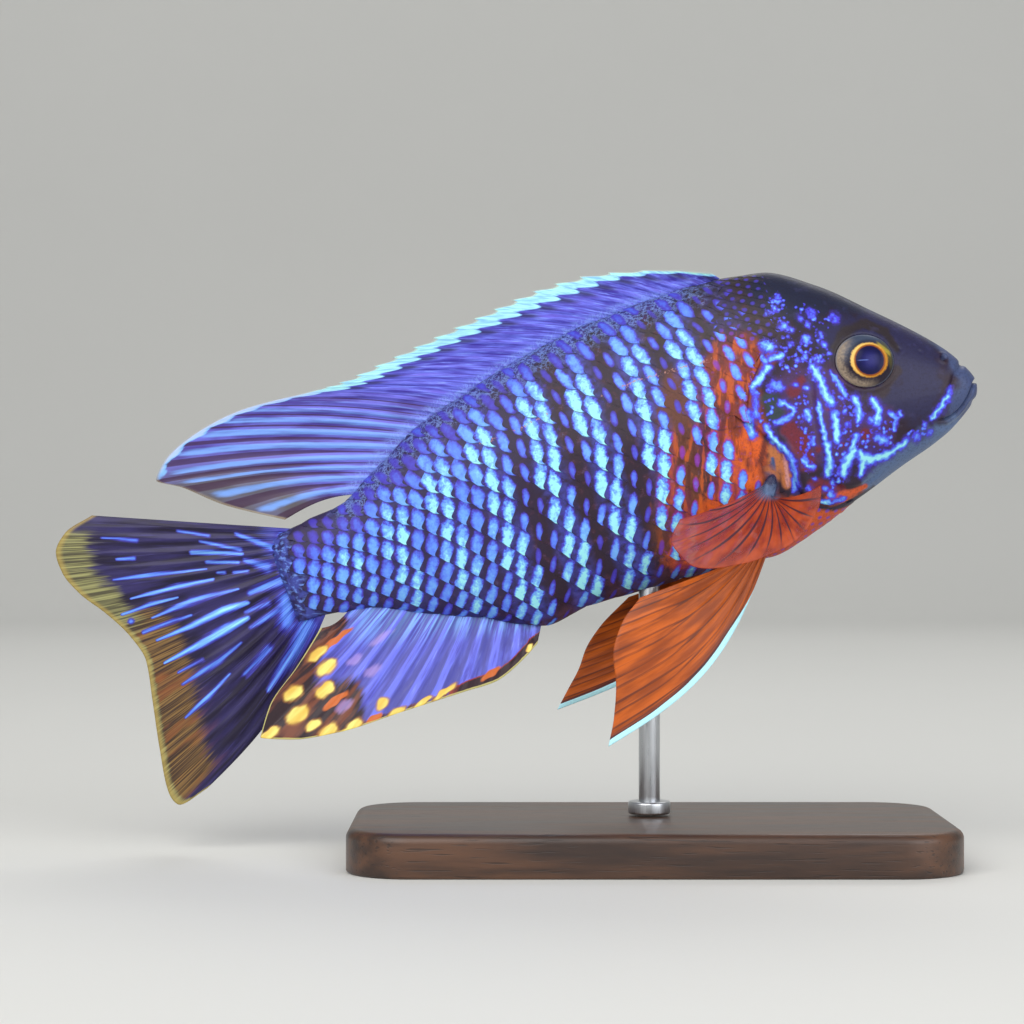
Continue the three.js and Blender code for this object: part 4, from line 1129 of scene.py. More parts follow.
from_pupil = from_middle(PUPIL_PLACE)
from_ring = from_middle(RING_PLACE, RING_RADII)
from_edge = from_middle(EYE_PLACE, EYE_RADII)
right, up = eye_x - RING_PLACE[0], eye_z - RING_PLACE[1]
rear_low = (from_edge + (flecks - 0.5) * 0.2).step(0.6, 0.96) * (0 - right * 0.85 - up * 0.5).step(-0.2, 2.6)
olive = (right * 0.9 + up * 0.3).step(2.1, 2.7) * (3.6 - from_pupil).step(0.0, 0.7)
point = (0.42 - abs(right * 0.6 + up * 0.8 - 2.55)).step(0.0, 0.3)
point = point * right.step(0.9, 1.6) * (3.3 - right).step(0.0, 0.5)
ball = glass.blend((up + (cloud - 0.5) * 2).step(-1.5, 2.0), "2b2431", "3d475c")
ball = glass.coats(ball, flecks, [
    (from_ring, 0, 1.3, 1.06, 0.6, "1b1826"),
    (rear_low * (0.35 + 0.9 * flecks), 1, "a89680"),
    (from_edge, 0, 0.93, 0.98, 0.45, "7c879c"),
    (olive * (0.4 + 0.7 * flecks), 1, "5a5426"),
    (point * (0.5 + 0.6 * flecks), 1, "a8993c"),
])
gold = glass.blend((up * 0.4 - right * 0.7 + (flecks - 0.5) * 3).step(-2.0, 2.4), "b87a1e", "ecc068")
gold = glass.blend(from_pupil.step(2.35, 2.1), gold, "8a4a1c")
iris = glass.blend((from_ring + (flecks - 0.5) * 0.14).step(0.95, 1.06), gold, ball)
# A painted highlight: a thin pale streak of reflected light across the rear half of the pupil.
glint = (0.12 - abs(up - 0.05 * right)).step(0.0, 0.1) * right.step(0.0, -0.5) * right.step(-1.9, -1.2)
pupil = glass.blend(from_pupil.step(0.2, 1.9), "242468", "14143c")
pupil = glass.blend(glint * 0.5, pupil, "6f86d8")
rim = (from_pupil + (flecks - 0.5) * 0.1).step(PUPIL_RADIUS - 0.1, PUPIL_RADIUS + 0.06)
glass.wear(Base_Color=glass.blend(rim, pupil, iris), Roughness=0.24 + 0.1 * flecks,
           Normal=glass.bump(flecks, 0.02, 0.2))


def glass_eye(side, word):
    """A flattened ball with a raised pupil, set into its socket on one side of the head."""
    bm = bmesh.new()
    bmesh.ops.create_uvsphere(bm, u_segments=120, v_segments=72, radius=1.0)
    bmesh.ops.scale(bm, verts=bm.verts, vec=EYE_RADII)
    for vert in bm.verts:
        flat = vert.co.xy.length
        if vert.co.z > 0 and flat < PUPIL_RADIUS:
            vert.co.z += PUPIL_RISE * (1 - (flat / PUPIL_RADIUS) ** 2)
    turn = mathutils.Matrix.Rotation(math.pi / 2 - EYE_TILT, 3, "X")
    turn = mathutils.Matrix.Rotation(EYE_TURN, 3, "Z") @ turn
    bmesh.ops.rotate(bm, verts=bm.verts, matrix=turn)
    t, height = locate(np.array(EYE_PLACE[0]), np.array(EYE_PLACE[1]))
    upper_right = np.linspace(math.pi, 2 * math.pi, 400)[200:]
    level_with_eye = np.argmin(np.abs(body_point(t, upper_right)[:, 2] - EYE_PLACE[1]))
    skin_y = body_point(t, upper_right[level_with_eye])[1]
    bmesh.ops.translate(bm, verts=bm.verts, vec=(EYE_PLACE[0], skin_y + EYE_SUNK, EYE_PLACE[1]))
    if side > 0:
        bmesh.ops.scale(bm, verts=bm.verts, vec=(1, -1, 1))
    bmesh.ops.recalc_face_normals(bm, faces=bm.faces)
    piece = new_piece("glass_eye_" + word, bm, glass)
    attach(piece, "root")
    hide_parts("eye_" + word)


for side, word in SIDES:
    glass_eye(side, word)

# Dorsal fin
# A thin cast membrane on eighteen spines and ten branched soft rays, rooted along the back. It is
# tinted violet-blue with fine streaks, its lappets tipped with pale cyan above a dark wedge.
LAPPET = 1.05
SPINES = 18
SPINE_SHARE = 0.7
SOFT_RAYS = 10
FIN_ROOT_HALF = 0.2
FIN_EDGE_HALF = 0.06
RAY_RISE = 0.13
DORSAL_FROM = 0.318
DORSAL_TO = 0.887
FIN_SUNK = 0.9
DORSAL_TIPS = [
    [0, 8.6, 0, 82.5], [0.05, 2, 0.2, 82.9], [0.12, -6.2, 0.4, 82.4], [0.2, -13.6, 0.8, 80.7],
    [0.35, -24.5, 1.4, 76], [0.52, -37, 3, 70.2], [0.62, -43.6, 3.8, 67.2], [0.7, -48.4, 4.4, 65.9],
    [0.77, -57.6, 5.6, 63.6], [0.83, -64.6, 6.8, 60.2], [0.875, -69.2, 7.5, 56.2], [0.905, -70.4, 7.7, 53.5],
    [0.935, -66.6, 7.3, 52.4], [0.967, -60.5, 6.8, 49.9], [1, -51.8, 6, 47.8],
]


def tip_curve(rows):
    """The tips of a fin's rays, as places along it."""
    curves = [through(rows, column) for column in (1, 2, 3)]
    return lambda u: np.stack([curve(u) for curve in curves], axis=-1)


def branched(share, v, fork=0.45):
    """A ray's relief across its share of the fin, forked towards its tip."""
    apart = 0.2 * smoothstep(v, fork, fork + 0.3)
    return np.maximum(ridge(share - 0.5 - apart, 0.13), ridge(share - 0.5 + apart, 0.13))


def along_root(first, last, u):
    """The share of the midline at a place along a fin's root."""
    return first + (last - first) * u


def pleated(middle, out, depth, v):
    """Folds a fin's sheet sideways, most at half its height. Also gives the direction across it."""
    across = np.tile(unit(np.array(out)), (len(v), 1))
    return middle + across * (depth * np.sin(math.pi * np.minimum(v * 1.2, 1)))[:, None], across


def fin_piece(name, nodes, finish, cells, surface, relief_of, marks_of,
              root_half=FIN_ROOT_HALF, bulb=None):
    """Builds a fin: surface(u, v) is its middle and the direction across it, u along its root."""
    bm = bmesh.new()
    bmesh.ops.create_grid(bm, x_segments=cells[0], y_segments=cells[1], size=0.5)
    bmesh.ops.solidify(bm, geom=bm.faces[:], thickness=0.1)
    mesh = bpy.data.meshes.new(name)
    bm.to_mesh(mesh)
    bm.clear()
    local = places_of(mesh)
    u, v = local[:, 0] + 0.5, local[:, 1] + 0.5
    side = np.where(local[:, 2] < -0.05, -1.0, 1.0)
    middle, across = surface(u, v)
    rim = np.minimum(np.minimum(u, 1 - u) * cells[0] / 3, (1 - v) * cells[1] / 3)
    half = root_half + (FIN_EDGE_HALF - root_half) * v ** 0.7
    rise = RAY_RISE * relief_of(u, v) * (1 - 0.75 * v)
    half = half * np.sqrt(np.clip(rim, 0.12, 1)) + rise * np.clip(rim, 0, 1)
    set_places(mesh, middle + across * (half * side)[:, None])
    for mark, values in marks_of(u, v, middle[:, 0], middle[:, 2]).items():
        set_held(mesh, mark, values)
    set_map(mesh, "fin", np.stack([u, v], axis=1))
    bm.from_mesh(mesh)
    bpy.data.meshes.remove(mesh)
    if bulb:
        add_bulb(bm, *bulb)
    bmesh.ops.recalc_face_normals(bm, faces=bm.faces)
    piece = new_piece(name, bm, finish)
    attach(piece, "root")
    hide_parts(*nodes)


def add_bulb(bm, place, radii):
    """A fleshy bulb at a fin's root, marked as root all over."""
    made = bmesh.ops.create_uvsphere(bm, u_segments=48, v_segments=32, radius=1.0)["verts"]
    bmesh.ops.scale(bm, verts=made, vec=radii)
    bmesh.ops.rotate(bm, verts=made, matrix=mathutils.Matrix.Rotation(math.radians(18), 3, "Y"))
    bmesh.ops.translate(bm, verts=made, vec=place)
    root = bm.verts.layers.float["root"]
    for vert in made:
        vert[root] = 1.0


def fibres(finish, across, along, detail=3.0):
    """Noise drawn out along a fin's rays."""
    where = finish.node("ShaderNodeVectorMath", {"operation": "MULTIPLY"},
                        {0: finish.node("ShaderNodeUVMap", {"uv_map": "fin"}), 1: (across, along, 1)})
    return finish.node("ShaderNodeTexNoise", None, {"Vector": where, "Scale": 1.0, "Detail": detail})


def fin_tint(name, threads, bands, coat=0.1):
    """A fin's finish, with its fine threads and broader bands along the rays."""
    tint = Finish(name, Specular_IOR_Level=0.3, Coat_Weight=coat, Coat_Roughness=0.15)
    return tint, fibres(tint, *threads), fibres(tint, *bands)


def spine_share(u):
    return (u / SPINE_SHARE * SPINES) % 1


def soft_share(u):
    return (u - SPINE_SHARE) / (1 - SPINE_SHARE) * SOFT_RAYS % 1


dorsal_tips = tip_curve(DORSAL_TIPS)


def lappet_reach(u):
    """How far each lappet juts out beyond the fin's smooth margin."""
    share = spine_share(u)
    drawn_out = smoothstep(share, 0.28, 0.93) * (1 - 0.7 * smoothstep(share, 0.93, 1.0))
    jut = np.where(share < 0.28, 0.3 * (1 - share / 0.28), drawn_out) - 0.4
    return LAPPET * jut * smoothstep(u, 0.0, 0.16) * smoothstep(SPINE_SHARE + 0.002 - u, 0.0, 0.08)


def dorsal_surface(u, v):
    t = along_root(DORSAL_FROM, DORSAL_TO, u)
    root = body_point(t, 0) - FIN_SUNK * frame_at(t)[3]
    tip = dorsal_tips(u)
    tip = tip + unit(tip - root) * lappet_reach(u)[:, None]
    middle = root + (tip - root) * v[:, None]
    middle[:, 2] += 0.9 * u * np.sin(math.pi * v)
    fold = np.cos(2 * math.pi * np.where(u < SPINE_SHARE, spine_share(u), soft_share(u)))
    return pleated(middle, (0.1, 1.0, 0.0), 0.13 * fold * smoothstep(u, 0, 0.05), v)


def dorsal_relief(u, v):
    spiny = ridge(np.minimum(spine_share(u), 1 - spine_share(u)), 0.14)
    return np.where(u < SPINE_SHARE, spiny, branched(soft_share(u), v))


def dorsal_marks(u, v, x, z):
    share = spine_share(u)
    root = body_point(along_root(DORSAL_FROM, DORSAL_TO, u), 0)
    tall = np.linalg.norm(dorsal_tips(u) - root, axis=1) + lappet_reach(u)
    from_tip = (1 - v) * tall
    soft = smoothstep(u, SPINE_SHARE - 0.03, SPINE_SHARE + 0.03)
    off_ray = np.abs(soft_share(u) - 0.5) * 2
    deep = (1.1 + 3.2 * smoothstep(u, 0.02, 0.25)) * np.sqrt(1 - 0.7 * (1.8 * share - 1.0) ** 2)
    deep = deep * (1 - soft) + soft * (2.2 - off_ray - 0.8 * smoothstep(u, 0.74, 0.9))
    low = smoothstep(u, 0.8, 0.92) * smoothstep(v, 0.1, 0.6)
    ray = smoothstep(0.6 - 0.2 * low - off_ray, -0.2, 0.3)
    olive = smoothstep(u, 0.84, 0.95) * smoothstep(v, 0.25, 0.7)
    return {
        "edge": smoothstep(deep - from_tip, -0.35, 0.35) * smoothstep(0.92 - u, 0, 0.05),
        "outer": smoothstep(0.4 - from_tip, -0.1, 0.2),
        "wedge": smoothstep(deep + 3.4 - from_tip, 0, 2.0) * ridge(share - 0.35, 0.3) * (1 - soft),
        "ray": ray * smoothstep(u, 0.64, 0.85) * smoothstep(1 - v, -0.03, 0.12),
        "gap": smoothstep(off_ray, 0.74 - 0.3 * low, 0.98 - 0.25 * low) * soft,
        "soft": soft,
        "olive": olive,
        "lace": smoothstep(4.6 - v * tall, 0, 3.6) * smoothstep(u, 0.04, 0.2) * (1 - olive),
    }


tint, thread, broad = fin_tint("dorsal_tint", (150.0, 5.0, 4.0), (40.0, 3.0))
pale = tint.blend(thread.step(0.35, 0.6), "8cc8f2", "b0f4f0")
tone = tint.blend((thread * 0.6 + broad * 0.4).step(0.36, 0.62), "4234a4", "6e76ea")
tone = tint.coats(tone, thread, [
    (broad, 0, 0.55, 0.7, 0.5, "5c38b4"),
    (thread, 0, 0.56, 0.74, 0.7, "8eaafa"),
    ("soft", 0.7, tint.blend(broad.step(0.4, 0.6), "4a3a8c", "6e6ad0")),
    ("olive", 0.75, "5c5a34"),
    ("gap", 0.6, 0.3, 0.8, 0.8, "3a1a38"),
    ("wedge", 0.85, "1f1a44"),
    ("ray", 1.0, 0.35, 1.1, 0.85, "78a6f4"),
    ("lace", 0.5, "6a78dc"),
    (tint.held("lace").step(0.1, 0.8) * wisps(tint), 0.5, "86a4ee"),
    ("edge", 0.4, 0.1, 0.5, 1, "7fb4f0"),
    ("edge", 0.4, 0.45, 0.95, 1, tint.blend(tint.held("soft"), pale, "a9c4f2")),
    ("outer", 0.6, "b8a98a"),
])
tint.wear(Base_Color=tone, Roughness=0.34 + 0.2 * thread, Normal=tint.bump(thread, 0.06, 0.6))
fin_piece("dorsal", ["dorsal_fin"], tint, (520, 64), dorsal_surface, dorsal_relief, dorsal_marks)

# Anal fin
# A cast membrane on branched rays behind the vent, violet-blue with pale streaks at its root. It
# carries yellow egg spots with orange rims, and has a dark patch along its front edge.
ANAL_FROM = 0.7
ANAL_TO = 0.95
ANAL_RAYS = 12
ANAL_TIPS = [
    [0, -15.8, 2.2, 30.3], [0.09, -18, 2, 27.9], [0.18, -21.6, 1.8, 25], [0.28, -26.2, 1.6, 23.5],
    [0.45, -34.6, 1.4, 20.8], [0.62, -44, 1.2, 17.8], [0.74, -50.6, 1.2, 16.8], [0.81, -54.9, 1.4, 17.1],
    [0.86, -53.6, 1.8, 21.6], [0.91, -50, 2.6, 26.8], [0.955, -48, 3.2, 30], [1, -46.6, 4, 32.4],
]
# Egg spots as x, z, half length, half width
EGG_SPOTS = [
    (-47.0, 28.8, 1.6, 0.7), (-45.7, 26.9, 1.8, 1.0), (-50.4, 23.3, 1.5, 1.0), (-45.9, 23.8, 1.5, 1.0),
    (-49.7, 20.3, 1.8, 1.1), (-47.4, 18.9, 1.3, 0.7), (-45.3, 18.0, 1.6, 0.9), (-41.6, 18.9, 1.3, 0.7),
    (-35.7, 20.6, 1.4, 0.6), (-37.7, 21.8, 1.1, 0.7), (-53.6, 17.5, 1.6, 0.7), (-16.9, 29.7, 0.7, 0.35),
    (-43.4, 17.6, 1.4, 0.5), (-28.9, 23.5, 2.0, 0.4), (-32.0, 22.0, 1.6, 0.35),
]
RUST_SPOTS = [
    (-38.8, 19.8, 1.4, 0.5), (-22.4, 26.1, 1.6, 0.5), (-44.6, 30.6, 3.2, 0.5), (-44.4, 22.2, 2.2, 0.5),
]
PINK_SPOTS = [
    (-41.8, 27.9, 1.6, 0.7), (-39.2, 26.4, 1.6, 0.8), (-43.2, 21.5, 1.6, 0.8), (-38.0, 31.0, 2.2, 0.6),
]
EGG_SLANT = math.radians(36)
anal_tips = tip_curve(ANAL_TIPS)


def anal_surface(u, v):
    t = along_root(ANAL_FROM, ANAL_TO, u)
    root = body_point(t, math.pi) + FIN_SUNK * frame_at(t)[3]
    middle = root + (anal_tips(u) - root) * v[:, None]
    middle[:, 2] -= 0.8 * u * np.sin(math.pi * v)
    return pleated(middle, (0.1, 1.0, 0.15), 0.12 * np.cos(2 * math.pi * ANAL_RAYS * u), v)


def spots(x, z, places):
    """1 at the middle of the nearest slanting spot, 0 at its rim."""
    x, z = x + 0.15 * ripple(x, z, 2.4), z + 0.15 * ripple(x, z, 2.4, 3.0)
    best = np.full(x.shape, -9.0)
    for px, pz, long, wide in places:
        a = (x - px) * math.cos(EGG_SLANT) + (z - pz) * math.sin(EGG_SLANT)
        b = (z - pz) * math.cos(EGG_SLANT) - (x - px) * math.sin(EGG_SLANT)
        best = np.maximum(best, 1 - np.hypot(a / (1.15 * long), b / (1.15 * wide)))
    return best


def anal_marks(u, v, x, z):
    tall = np.linalg.norm(anal_tips(u) - body_point(along_root(ANAL_FROM, ANAL_TO, u), math.pi), axis=1)
    from_tip = (1 - v) * tall
    front = smoothstep(2.4 - from_tip, 0, 1.4) * smoothstep(v, 0.3, 0.6) * smoothstep(x, -32, -24)
    front = np.maximum(front, smoothstep(0.1 - u, 0.0, 0.06) * smoothstep(v, 0.3, 0.7))
    rear = smoothstep(-38.5 - x, 0, 3.5) * smoothstep(v, 0.35, 0.7)
    rear = np.maximum(rear, 0.7 * smoothstep(1.6 - from_tip, 0, 1.0) * smoothstep(-24 - x, 0, 6))
    rear = np.maximum(rear, smoothstep(u, 0.86, 0.95) * smoothstep(v, 0.1, 0.4))
    return {
        "egg": spots(x, z, EGG_SPOTS),
        "rust": spots(x, z, RUST_SPOTS),
        "pink": spots(x, z, PINK_SPOTS),
        "front": front,
        "rear": rear,
        "gap": 1 - branched(ANAL_RAYS * u % 1, v, 2.0),
        "pale": smoothstep(0.35 - v, 0, 0.3),
        "edge": smoothstep(0.4 - from_tip, -0.1, 0.2),
    }


tint, thread, broad = fin_tint("anal_tint", (90.0, 3.0, 4.0), (26.0, 2.0))
tone = tint.blend((thread * 0.5 + broad * 0.5).step(0.3, 0.55), "4a44a8", "6f78ee")
tone = tint.coats(tone, thread, [
    (tint.held("pale") * thread.step(0.4, 0.62), 1, "7fb4f6"),
    (thread, 0, 0.6, 0.74, 0.7, "9aa8fa"),
    (tint.held("gap") + (broad - 0.5), 0, 0.72, 1.1, 0.7, "2c2266"),
    ("rear", 1.0, 0.3, 0.8, 1, tint.blend(broad.step(0.45, 0.6), "2c1a22", "74402e")),
    ("front", 0.5, 0.3, 0.5, 1, "8c2a26"),
    ("front", 0.4, 0.5, 0.7, 1, "2a0f1c"),
    ("pink", 0.9, 0.0, 0.6, 0.5, "b79ae0"),
    ("rust", 0, 0.0, 0.3, 1, "c8662c"),
    (tint.held("edge") + (broad - 0.5) * 1.6, 0, 0.3, 0.8, 0.8, "c9c07a"),
    ("egg", 0.35, -0.12, 0.16, 0.7, "a06a34"),
    ("egg", 0.35, 0.06, 0.36, 1, tint.blend(broad.step(0.35, 0.65), "f2e67c", "e6bc50")),
])
tint.wear(Base_Color=tone, Roughness=0.34 + 0.2 * thread, Normal=tint.bump(thread, 0.06, 0.6))
fin_piece("anal", ["anal_fin"], tint, (240, 110), anal_surface,
          lambda u, v: branched(ANAL_RAYS * u % 1, v), anal_marks)

# Tail fin
# A cast fan of sixteen branched rays with a rounded upper lobe and a pointed lower one. It is dark
# indigo with long reflecting streaks between its rays, yellow at the upper rear and rust below.
TAIL_RAYS = 16
TAIL_ROOT_HALF = 6.4
TAIL_TIPS = [
    [0, -80.2, 11.6, 48.4], [0.07, -84.1, 12, 45.9], [0.13, -85.5, 12.2, 43.1], [0.2, -84.6, 12, 40.2],
    [0.28, -82, 11.7, 37.1], [0.36, -78.1, 11.3, 34.2], [0.43, -74.6, 10.8, 31], [0.5, -72.2, 10.5, 27.4],
    [0.6, -71.3, 10.5, 21.8], [0.74, -70.3, 10.7, 14.9], [0.88, -69, 10.9, 8.4], [0.93, -67.4, 11, 6.6],
    [1, -63.4, 10.8, 9],
]
# Reflecting streaks: shine and the line of (x, z, radius), each drawn out to a point
TAIL_STREAKS = [
    (0.6, [(-77.0, 39.1, 0.1), (-72.0, 39.8, 0.3), (-63.2, 40.7, 0.1)]),
    (0.8, [(-74.4, 36.4, 0.1), (-67.5, 38.2, 0.4), (-62.3, 39.2, 0.2)]),
    (0.75, [(-71.3, 33.6, 0.1), (-65.5, 36.1, 0.5), (-58.6, 37.9, 0.12)]),
    (0.8, [(-75.7, 34.1, 0.15), (-71.5, 35.6, 0.3), (-67.5, 36.6, 0.12)]),
    (1.0, [(-70.6, 30.4, 0.12), (-65.5, 32.5, 0.4), (-60.9, 34.8, 0.6), (-57.3, 35.9, 0.3)]),
    (0.65, [(-72.6, 31.5, 0.2), (-68.2, 33.2, 0.26), (-65.5, 34.1, 0.1)]),
    (1.05, [(-69.5, 27.1, 0.12), (-64.2, 29.9, 0.55), (-60.3, 32.2, 0.75), (-57.3, 33.7, 0.35)]),
    (0.6, [(-66.9, 24.0, 0.12), (-61.5, 27.5, 0.4), (-58.3, 30.2, 0.15)]),
    (0.5, [(-67.5, 25.8, 0.12), (-63.9, 27.7, 0.25)]),
    (0.65, [(-66.5, 19.2, 0.12), (-63.2, 22.3, 0.36), (-60.0, 25.6, 0.15)]),
    (0.85, [(-65.4, 43.1, 0.3), (-62.3, 43.1, 0.36), (-58.0, 42.9, 0.2)]),
    (0.7, [(-63.2, 41.7, 0.22), (-58.6, 41.7, 0.22)]),
    (0.45, [(-67.5, 46.2, 0.12), (-62.9, 45.5, 0.2)]),
    (0.6, [(-64.2, 44.7, 0.15), (-58.3, 43.5, 0.3)]),
    (0.6, [(-59.0, 45.8, 0.2), (-53.7, 43.8, 0.6)]),
    (0.55, [(-61.6, 40.2, 0.2), (-60.6, 40.2, 0.2)]), (0.5, [(-59.3, 40.3, 0.2), (-57.3, 40.4, 0.25)]),
    (0.6, [(-76.4, 42.1, 0.15), (-73.8, 42.2, 0.25)]), (0.4, [(-78.7, 45.2, 0.1), (-73.4, 44.8, 0.2)]),
    (0.5, [(-57.7, 42.0, 0.3), (-54.4, 41.0, 0.8)]), (0.6, [(-57.0, 37.3, 0.4), (-51.4, 39.4, 0.9)]),
    (0.45, [(-57.7, 34.5, 0.2), (-54.4, 35.8, 0.5)]), (0.4, [(-57.0, 32.3, 0.2), (-52.7, 34.8, 0.5)]),
    (0.55, [(-51.7, 36.4, 1.4), (-51.7, 33.2, 1.4)]), (0.35, [(-57.7, 25.6, 0.4), (-54.4, 29.2, 0.6)]),
    (0.55, [(-48.6, 33.0, 1.4), (-50.4, 29.2, 1.0), (-54.4, 23.3, 0.3)]),
    (0.5, [(-52.4, 45.5, 0.7), (-52.2, 40.4, 0.7)]),
    (0.5, [(-74.4, 33.1, 0.4)]),
]
tail_tips = tip_curve(TAIL_TIPS)


def tail_surface(u, v):
    centre, along, left, up = frame_at(np.ones(len(u)))
    root = centre + up * (TAIL_ROOT_HALF * (1 - 2 * u))[:, None] - along * 1.2
    middle = root + (tail_tips(u) - root) * v[:, None]
    swell = np.sin(math.pi * v)
    middle += np.stack([0.7 * (u + u ** 3) * swell, -0.9 * np.cos(3 * u) * swell,
                        (-0.8 * u - 0.5 * u ** 3) * swell], axis=-1)
    return pleated(middle, (0.12, 1.0, 0.0), 0.12 * np.cos(2 * math.pi * TAIL_RAYS * u), v)


def tail_marks(u, v, x, z):
    shines = [np.minimum(stroke(x, z, [(px, pz, r + 0.06) for px, pz, r in points]) * 1.3, 1) * shine
              for shine, points in TAIL_STREAKS]
    wobble = 0.5 * ripple(x, z, 5.0)
    yellow = smoothstep(v + 0.03 * wobble, 0.76, 0.94) * smoothstep(u, 0.02, 0.1)
    rust = smoothstep(v + 0.02 * wobble, 0.66, 0.86) * smoothstep(u, 0.3, 0.42)
    rim = smoothstep(v, 0.94, 0.99) * smoothstep(u, 0.03, 0.08)
    return {
        "base": smoothstep(0.26 - v, 0.0, 0.2),
        "streak": np.max(shines, axis=0),
        "yellow": np.maximum(yellow * smoothstep(0.5 - u, 0, 0.16), rim),
        "rust": rust * smoothstep(0.96 - u, 0, 0.06),
        "dark_ray": branched(TAIL_RAYS * u % 1, v, 0.35) * smoothstep(v, 0.1, 0.5),
        "edge": smoothstep(v, 0.965, 0.99),
    }


tint, thread, broad = fin_tint("tail_tint", (110.0, 5.0, 4.0), (24.0, 3.0))
hair = fibres(tint, 190.0, 2.5, 2.0)
late = (tint.held("yellow") + tint.held("rust")).step(0.2, 0.8)
tone = tint.coats(tint.blend(broad.step(0.35, 0.65), "180f2e", "2f285c"), thread, [
    (thread, 0, 0.55, 0.75, 0.4, "4c4690"),
    ("rust", 1.2, 0.3, 0.9, 1, tint.blend(hair.step(0.4, 0.6), "3d2a20", "8a6a3c")),
    (tint.held("rust") * broad.step(0.5, 0.65), 0.6, "9c5a2c"),
    ("yellow", 1.2, 0.3, 0.9, 1, tint.blend(hair.step(0.4, 0.6), "57543c", "9c9a66")),
    ("base", 1.2, 0.3, 1.0, 0.7, "4f50bc"),
    (tint.held("base") * thread.step(0.52, 0.7), 0.6, "6f90ee"),
    (tint.held("dark_ray") * late, 0.35, "2c2024"),
    ("edge", 0.6, "b39a52"),
])
tone = iridescence(tint, tone, tint.held("streak") * 0.8 + (thread - 0.5) * 1.3 - 0.06, "3a34a0")
tint.wear(Base_Color=tone, Roughness=0.34 + 0.2 * thread, Normal=tint.bump(thread, 0.06, 0.6))
fin_piece("tail", ["tail_fin"], tint, (256, 120), tail_surface,
          lambda u, v: branched(TAIL_RAYS * u % 1, v), tail_marks)

# Pelvic fins
# A pair of narrow cast fins under the breast, each on a spine and five rays. They are orange, with
# a dark band and then a thick pale edge along the spine in front.
PELVIC_RAYS = 6
PELVIC_FROM = 0.356
PELVIC_TO = 0.395
PELVIC_ROOT_HALF = 1.5
PELVIC_EDGE = 0.95
PELVIC_BAND = 1.3
PELVIC_TIPS = {
    -1: [[0, -6.1, -7.4, 16.5], [0.2, -5.3, -7, 20.6], [0.4, -5, -6.6, 24.8], [0.6, -5.4, -6.1, 29.1],
         [0.8, -4.2, -5.4, 33.4], [1, -1.6, -4.4, 37]],
    1: [[0, -12.9, 8.6, 20.5], [0.2, -11.4, 8.1, 23.4], [0.4, -9.8, 7.6, 26.5], [0.6, -8.8, 7, 29.4],
        [0.8, -6.8, 6, 32.6], [1, -2.8, 4.8, 36.8]],
}
PELVIC_BELLY = {-1: 2.9, 1: 3.0}

tint, thread, broad = fin_tint("orange_tint", (60.0, 3.0, 4.0), (9.0, 3.0))
tone = tint.coats(tint.blend(broad.step(0.35, 0.65), "92400e", "c45c12"), thread, [
    (thread, 0, 0.52, 0.75, 0.5, "6e3a26"),
    ("ray", 0.8, 0.7, 1.05, 0.7, "3c1c1c"),
    ("band", 1.2, 0.35, 1.0, 0.8, "33202e"),
    ("edge", 0.2, 0.4, 0.6, 1, "bdf4ff"),
])
tint.wear(Base_Color=tone, Roughness=0.36 + 0.2 * thread, Normal=tint.bump(thread, 0.06, 0.6))


def pelvic_fin(side, word):
    """One pelvic fin, swung out to its side of the keel."""
    tips = tip_curve(PELVIC_TIPS[side])
    swell = PELVIC_BELLY[side]

    def surface(u, v):
        root = body_point(along_root(PELVIC_FROM, PELVIC_TO, u), math.pi)
        root = root + np.stack([0 * u, side * (PELVIC_ROOT_HALF + 0.6 * u), FIN_SUNK + 0 * u], axis=-1)
        middle = root + (tips(u) - root) * v[:, None]
        bow = np.sin(math.pi * v)
        ahead = swell * (1 - u) * bow
        middle += np.stack([ahead, side * 1.2 * bow, -0.86 * ahead], axis=-1)
        return middle, np.tile(unit(np.array([0.12 * side, 1.0, 0.3 * side])), (len(u), 1))

    def marks(u, v, x, z):
        reach = np.linalg.norm(tips(np.zeros(len(u))) - tips(np.full(len(u), 0.2)), axis=1) * 5
        from_spine = u * reach * (0.15 + 0.85 * v)
        thick = PELVIC_EDGE * smoothstep(v, 0.12, 0.4)
        return {
            "ray": branched(PELVIC_RAYS * u % 1, v),
            "edge": smoothstep(thick - from_spine, -0.1, 0.12),
            "band": smoothstep(thick + PELVIC_BAND - from_spine, 0, PELVIC_BAND) * smoothstep(v, 0.1, 0.35),
        }

    fin_piece("pelvic_" + word, ["pelvic_fin_" + word], tint, (90, 110), surface,
              lambda u, v: branched(PELVIC_RAYS * u % 1, v), marks)


for side, word in SIDES:
    pelvic_fin(side, word)

# Pectoral fins
# Thin, half clear fans behind the gill covers, tinted red with dark branching rays. Each spreads
# from a small fleshy bulb.
PECTORAL_RAYS = 14
PECTORAL_ROOT = (16.1, 7.4, 51.8)
PECTORAL_BULB = (0.95, 0.8, 2.2)
# Share of the fan, swing from the front, length, outward reach
PECTORAL_FAN = [
    [0, 22, 13, 4], [0.12, 31, 15.6, 5.2], [0.28, 42, 15.4, 6.6], [0.45, 66, 11, 8],
    [0.6, 92, 8, 8.6], [0.75, 120, 6.6, 8.2], [0.88, 152, 5.8, 7.2], [1, 196, 6.2, 5.6],
]
fan_swing, fan_reach, fan_out = [through(PECTORAL_FAN, column) for column in (1, 2, 3)]

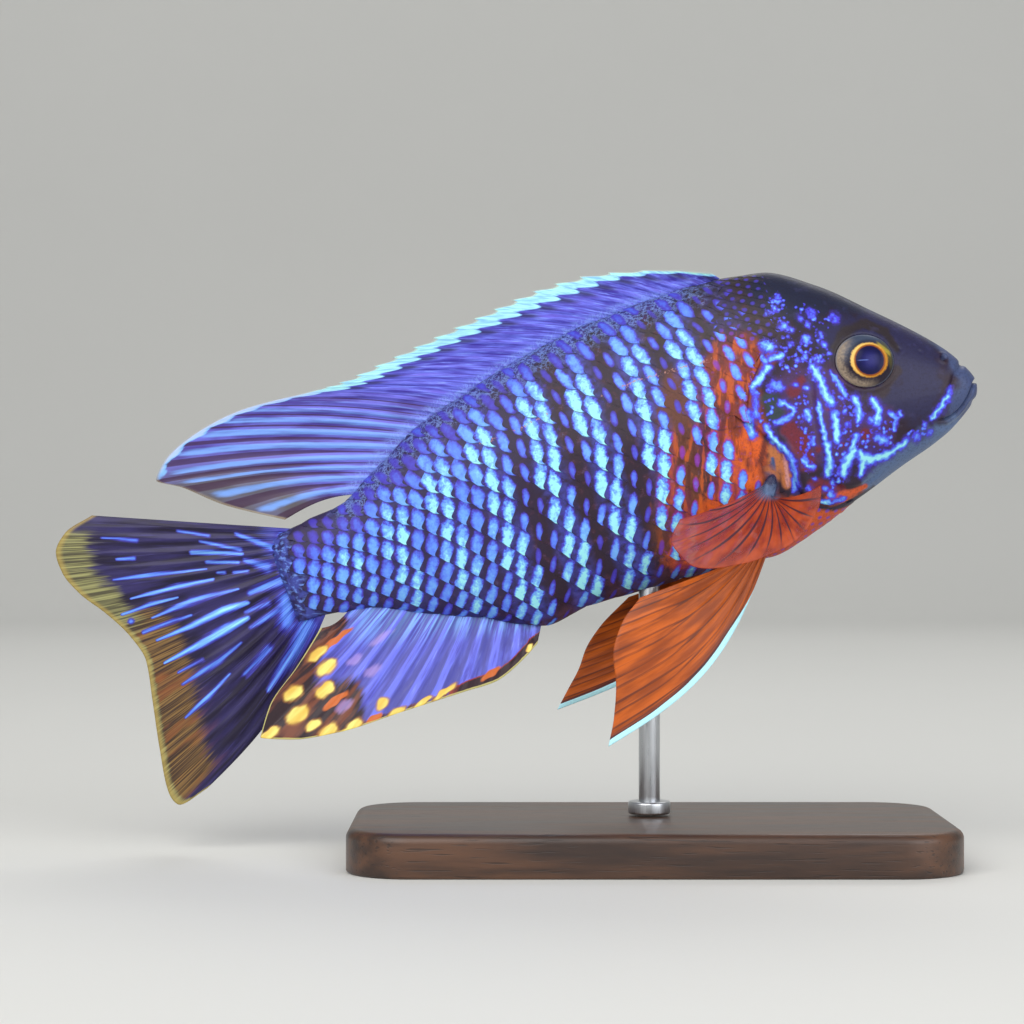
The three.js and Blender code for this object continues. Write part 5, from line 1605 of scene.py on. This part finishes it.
tint, thread, broad = fin_tint("red_tint", (60.0, 3.0, 4.0), (10.0, 3.0), 0.08)
ray_mask = (tint.held("ray") + (thread - 0.5) * 0.4).step(0.3, 0.65)
high = tint.node("ShaderNodeSeparateXYZ", None, {0: tint.place()}, out=2) / MM
bluish = tint.blend((high + tint.noise(0.8, 3.0) * 2).step(52.0, 54.4), "6c84ac", "22264a")
tone = tint.coats(tint.blend(broad.step(0.35, 0.65), "8e2c18", "bc4c1e"), thread, [
    (tint.held("rear") * thread.step(0.3, 0.6), 0.5, "84264a"),
    (ray_mask, 0.9, "24142c"),
    ("root", 1, bluish),
])
tint.wear(Base_Color=tone, Roughness=0.36 + 0.2 * thread, Normal=tint.bump(thread, 0.06, 0.6),
          Alpha=0.72 + 0.28 * ray_mask)


def pectoral_fin(side, word):
    """One pectoral fin with its bulb, spread from behind its gill cover."""
    root_x, root_y, root_z = PECTORAL_ROOT

    def surface(u, v):
        root = np.stack([root_x - 0.5 + u, side * root_y + 0 * u, root_z + 1 - 2 * u], axis=-1)
        heading = np.radians(180 - fan_swing(u))
        reach, out = fan_reach(u), fan_out(u)
        ray = np.stack([reach * np.cos(heading), side * out, -reach * np.sin(heading)], axis=-1)
        bow = np.sin(math.pi * v)
        middle = root + ray * v[:, None] + np.stack([0 * bow, side * 1.4 * bow, -0.5 * bow], axis=-1)
        return middle, unit(np.cross(ray, np.stack([-np.sin(heading), 0 * u, -np.cos(heading)], axis=-1)))

    def marks(u, v, x, z):
        swept = PECTORAL_RAYS * (u + 0.16 * v * (1 - u)) % 1
        drawn = ridge(swept - 0.5, 0.16 - 0.07 * v) * (1 - 0.5 * smoothstep(v, 0.5, 1.0))
        return {"ray": drawn, "root": smoothstep(0.16 - v, 0, 0.14), "rear": smoothstep(0.45 - u, 0, 0.3)}

    bulb_place = (root_x - 0.1, side * (root_y + 0.1), root_z + 0.2)
    fin_piece("pectoral_" + word, ["pectoral_fin_" + word], tint, (168, 60), surface,
              lambda u, v: branched(PECTORAL_RAYS * u % 1, v), marks, 0.14, (bulb_place, PECTORAL_BULB))


for side, word in SIDES:
    pectoral_fin(side, word)
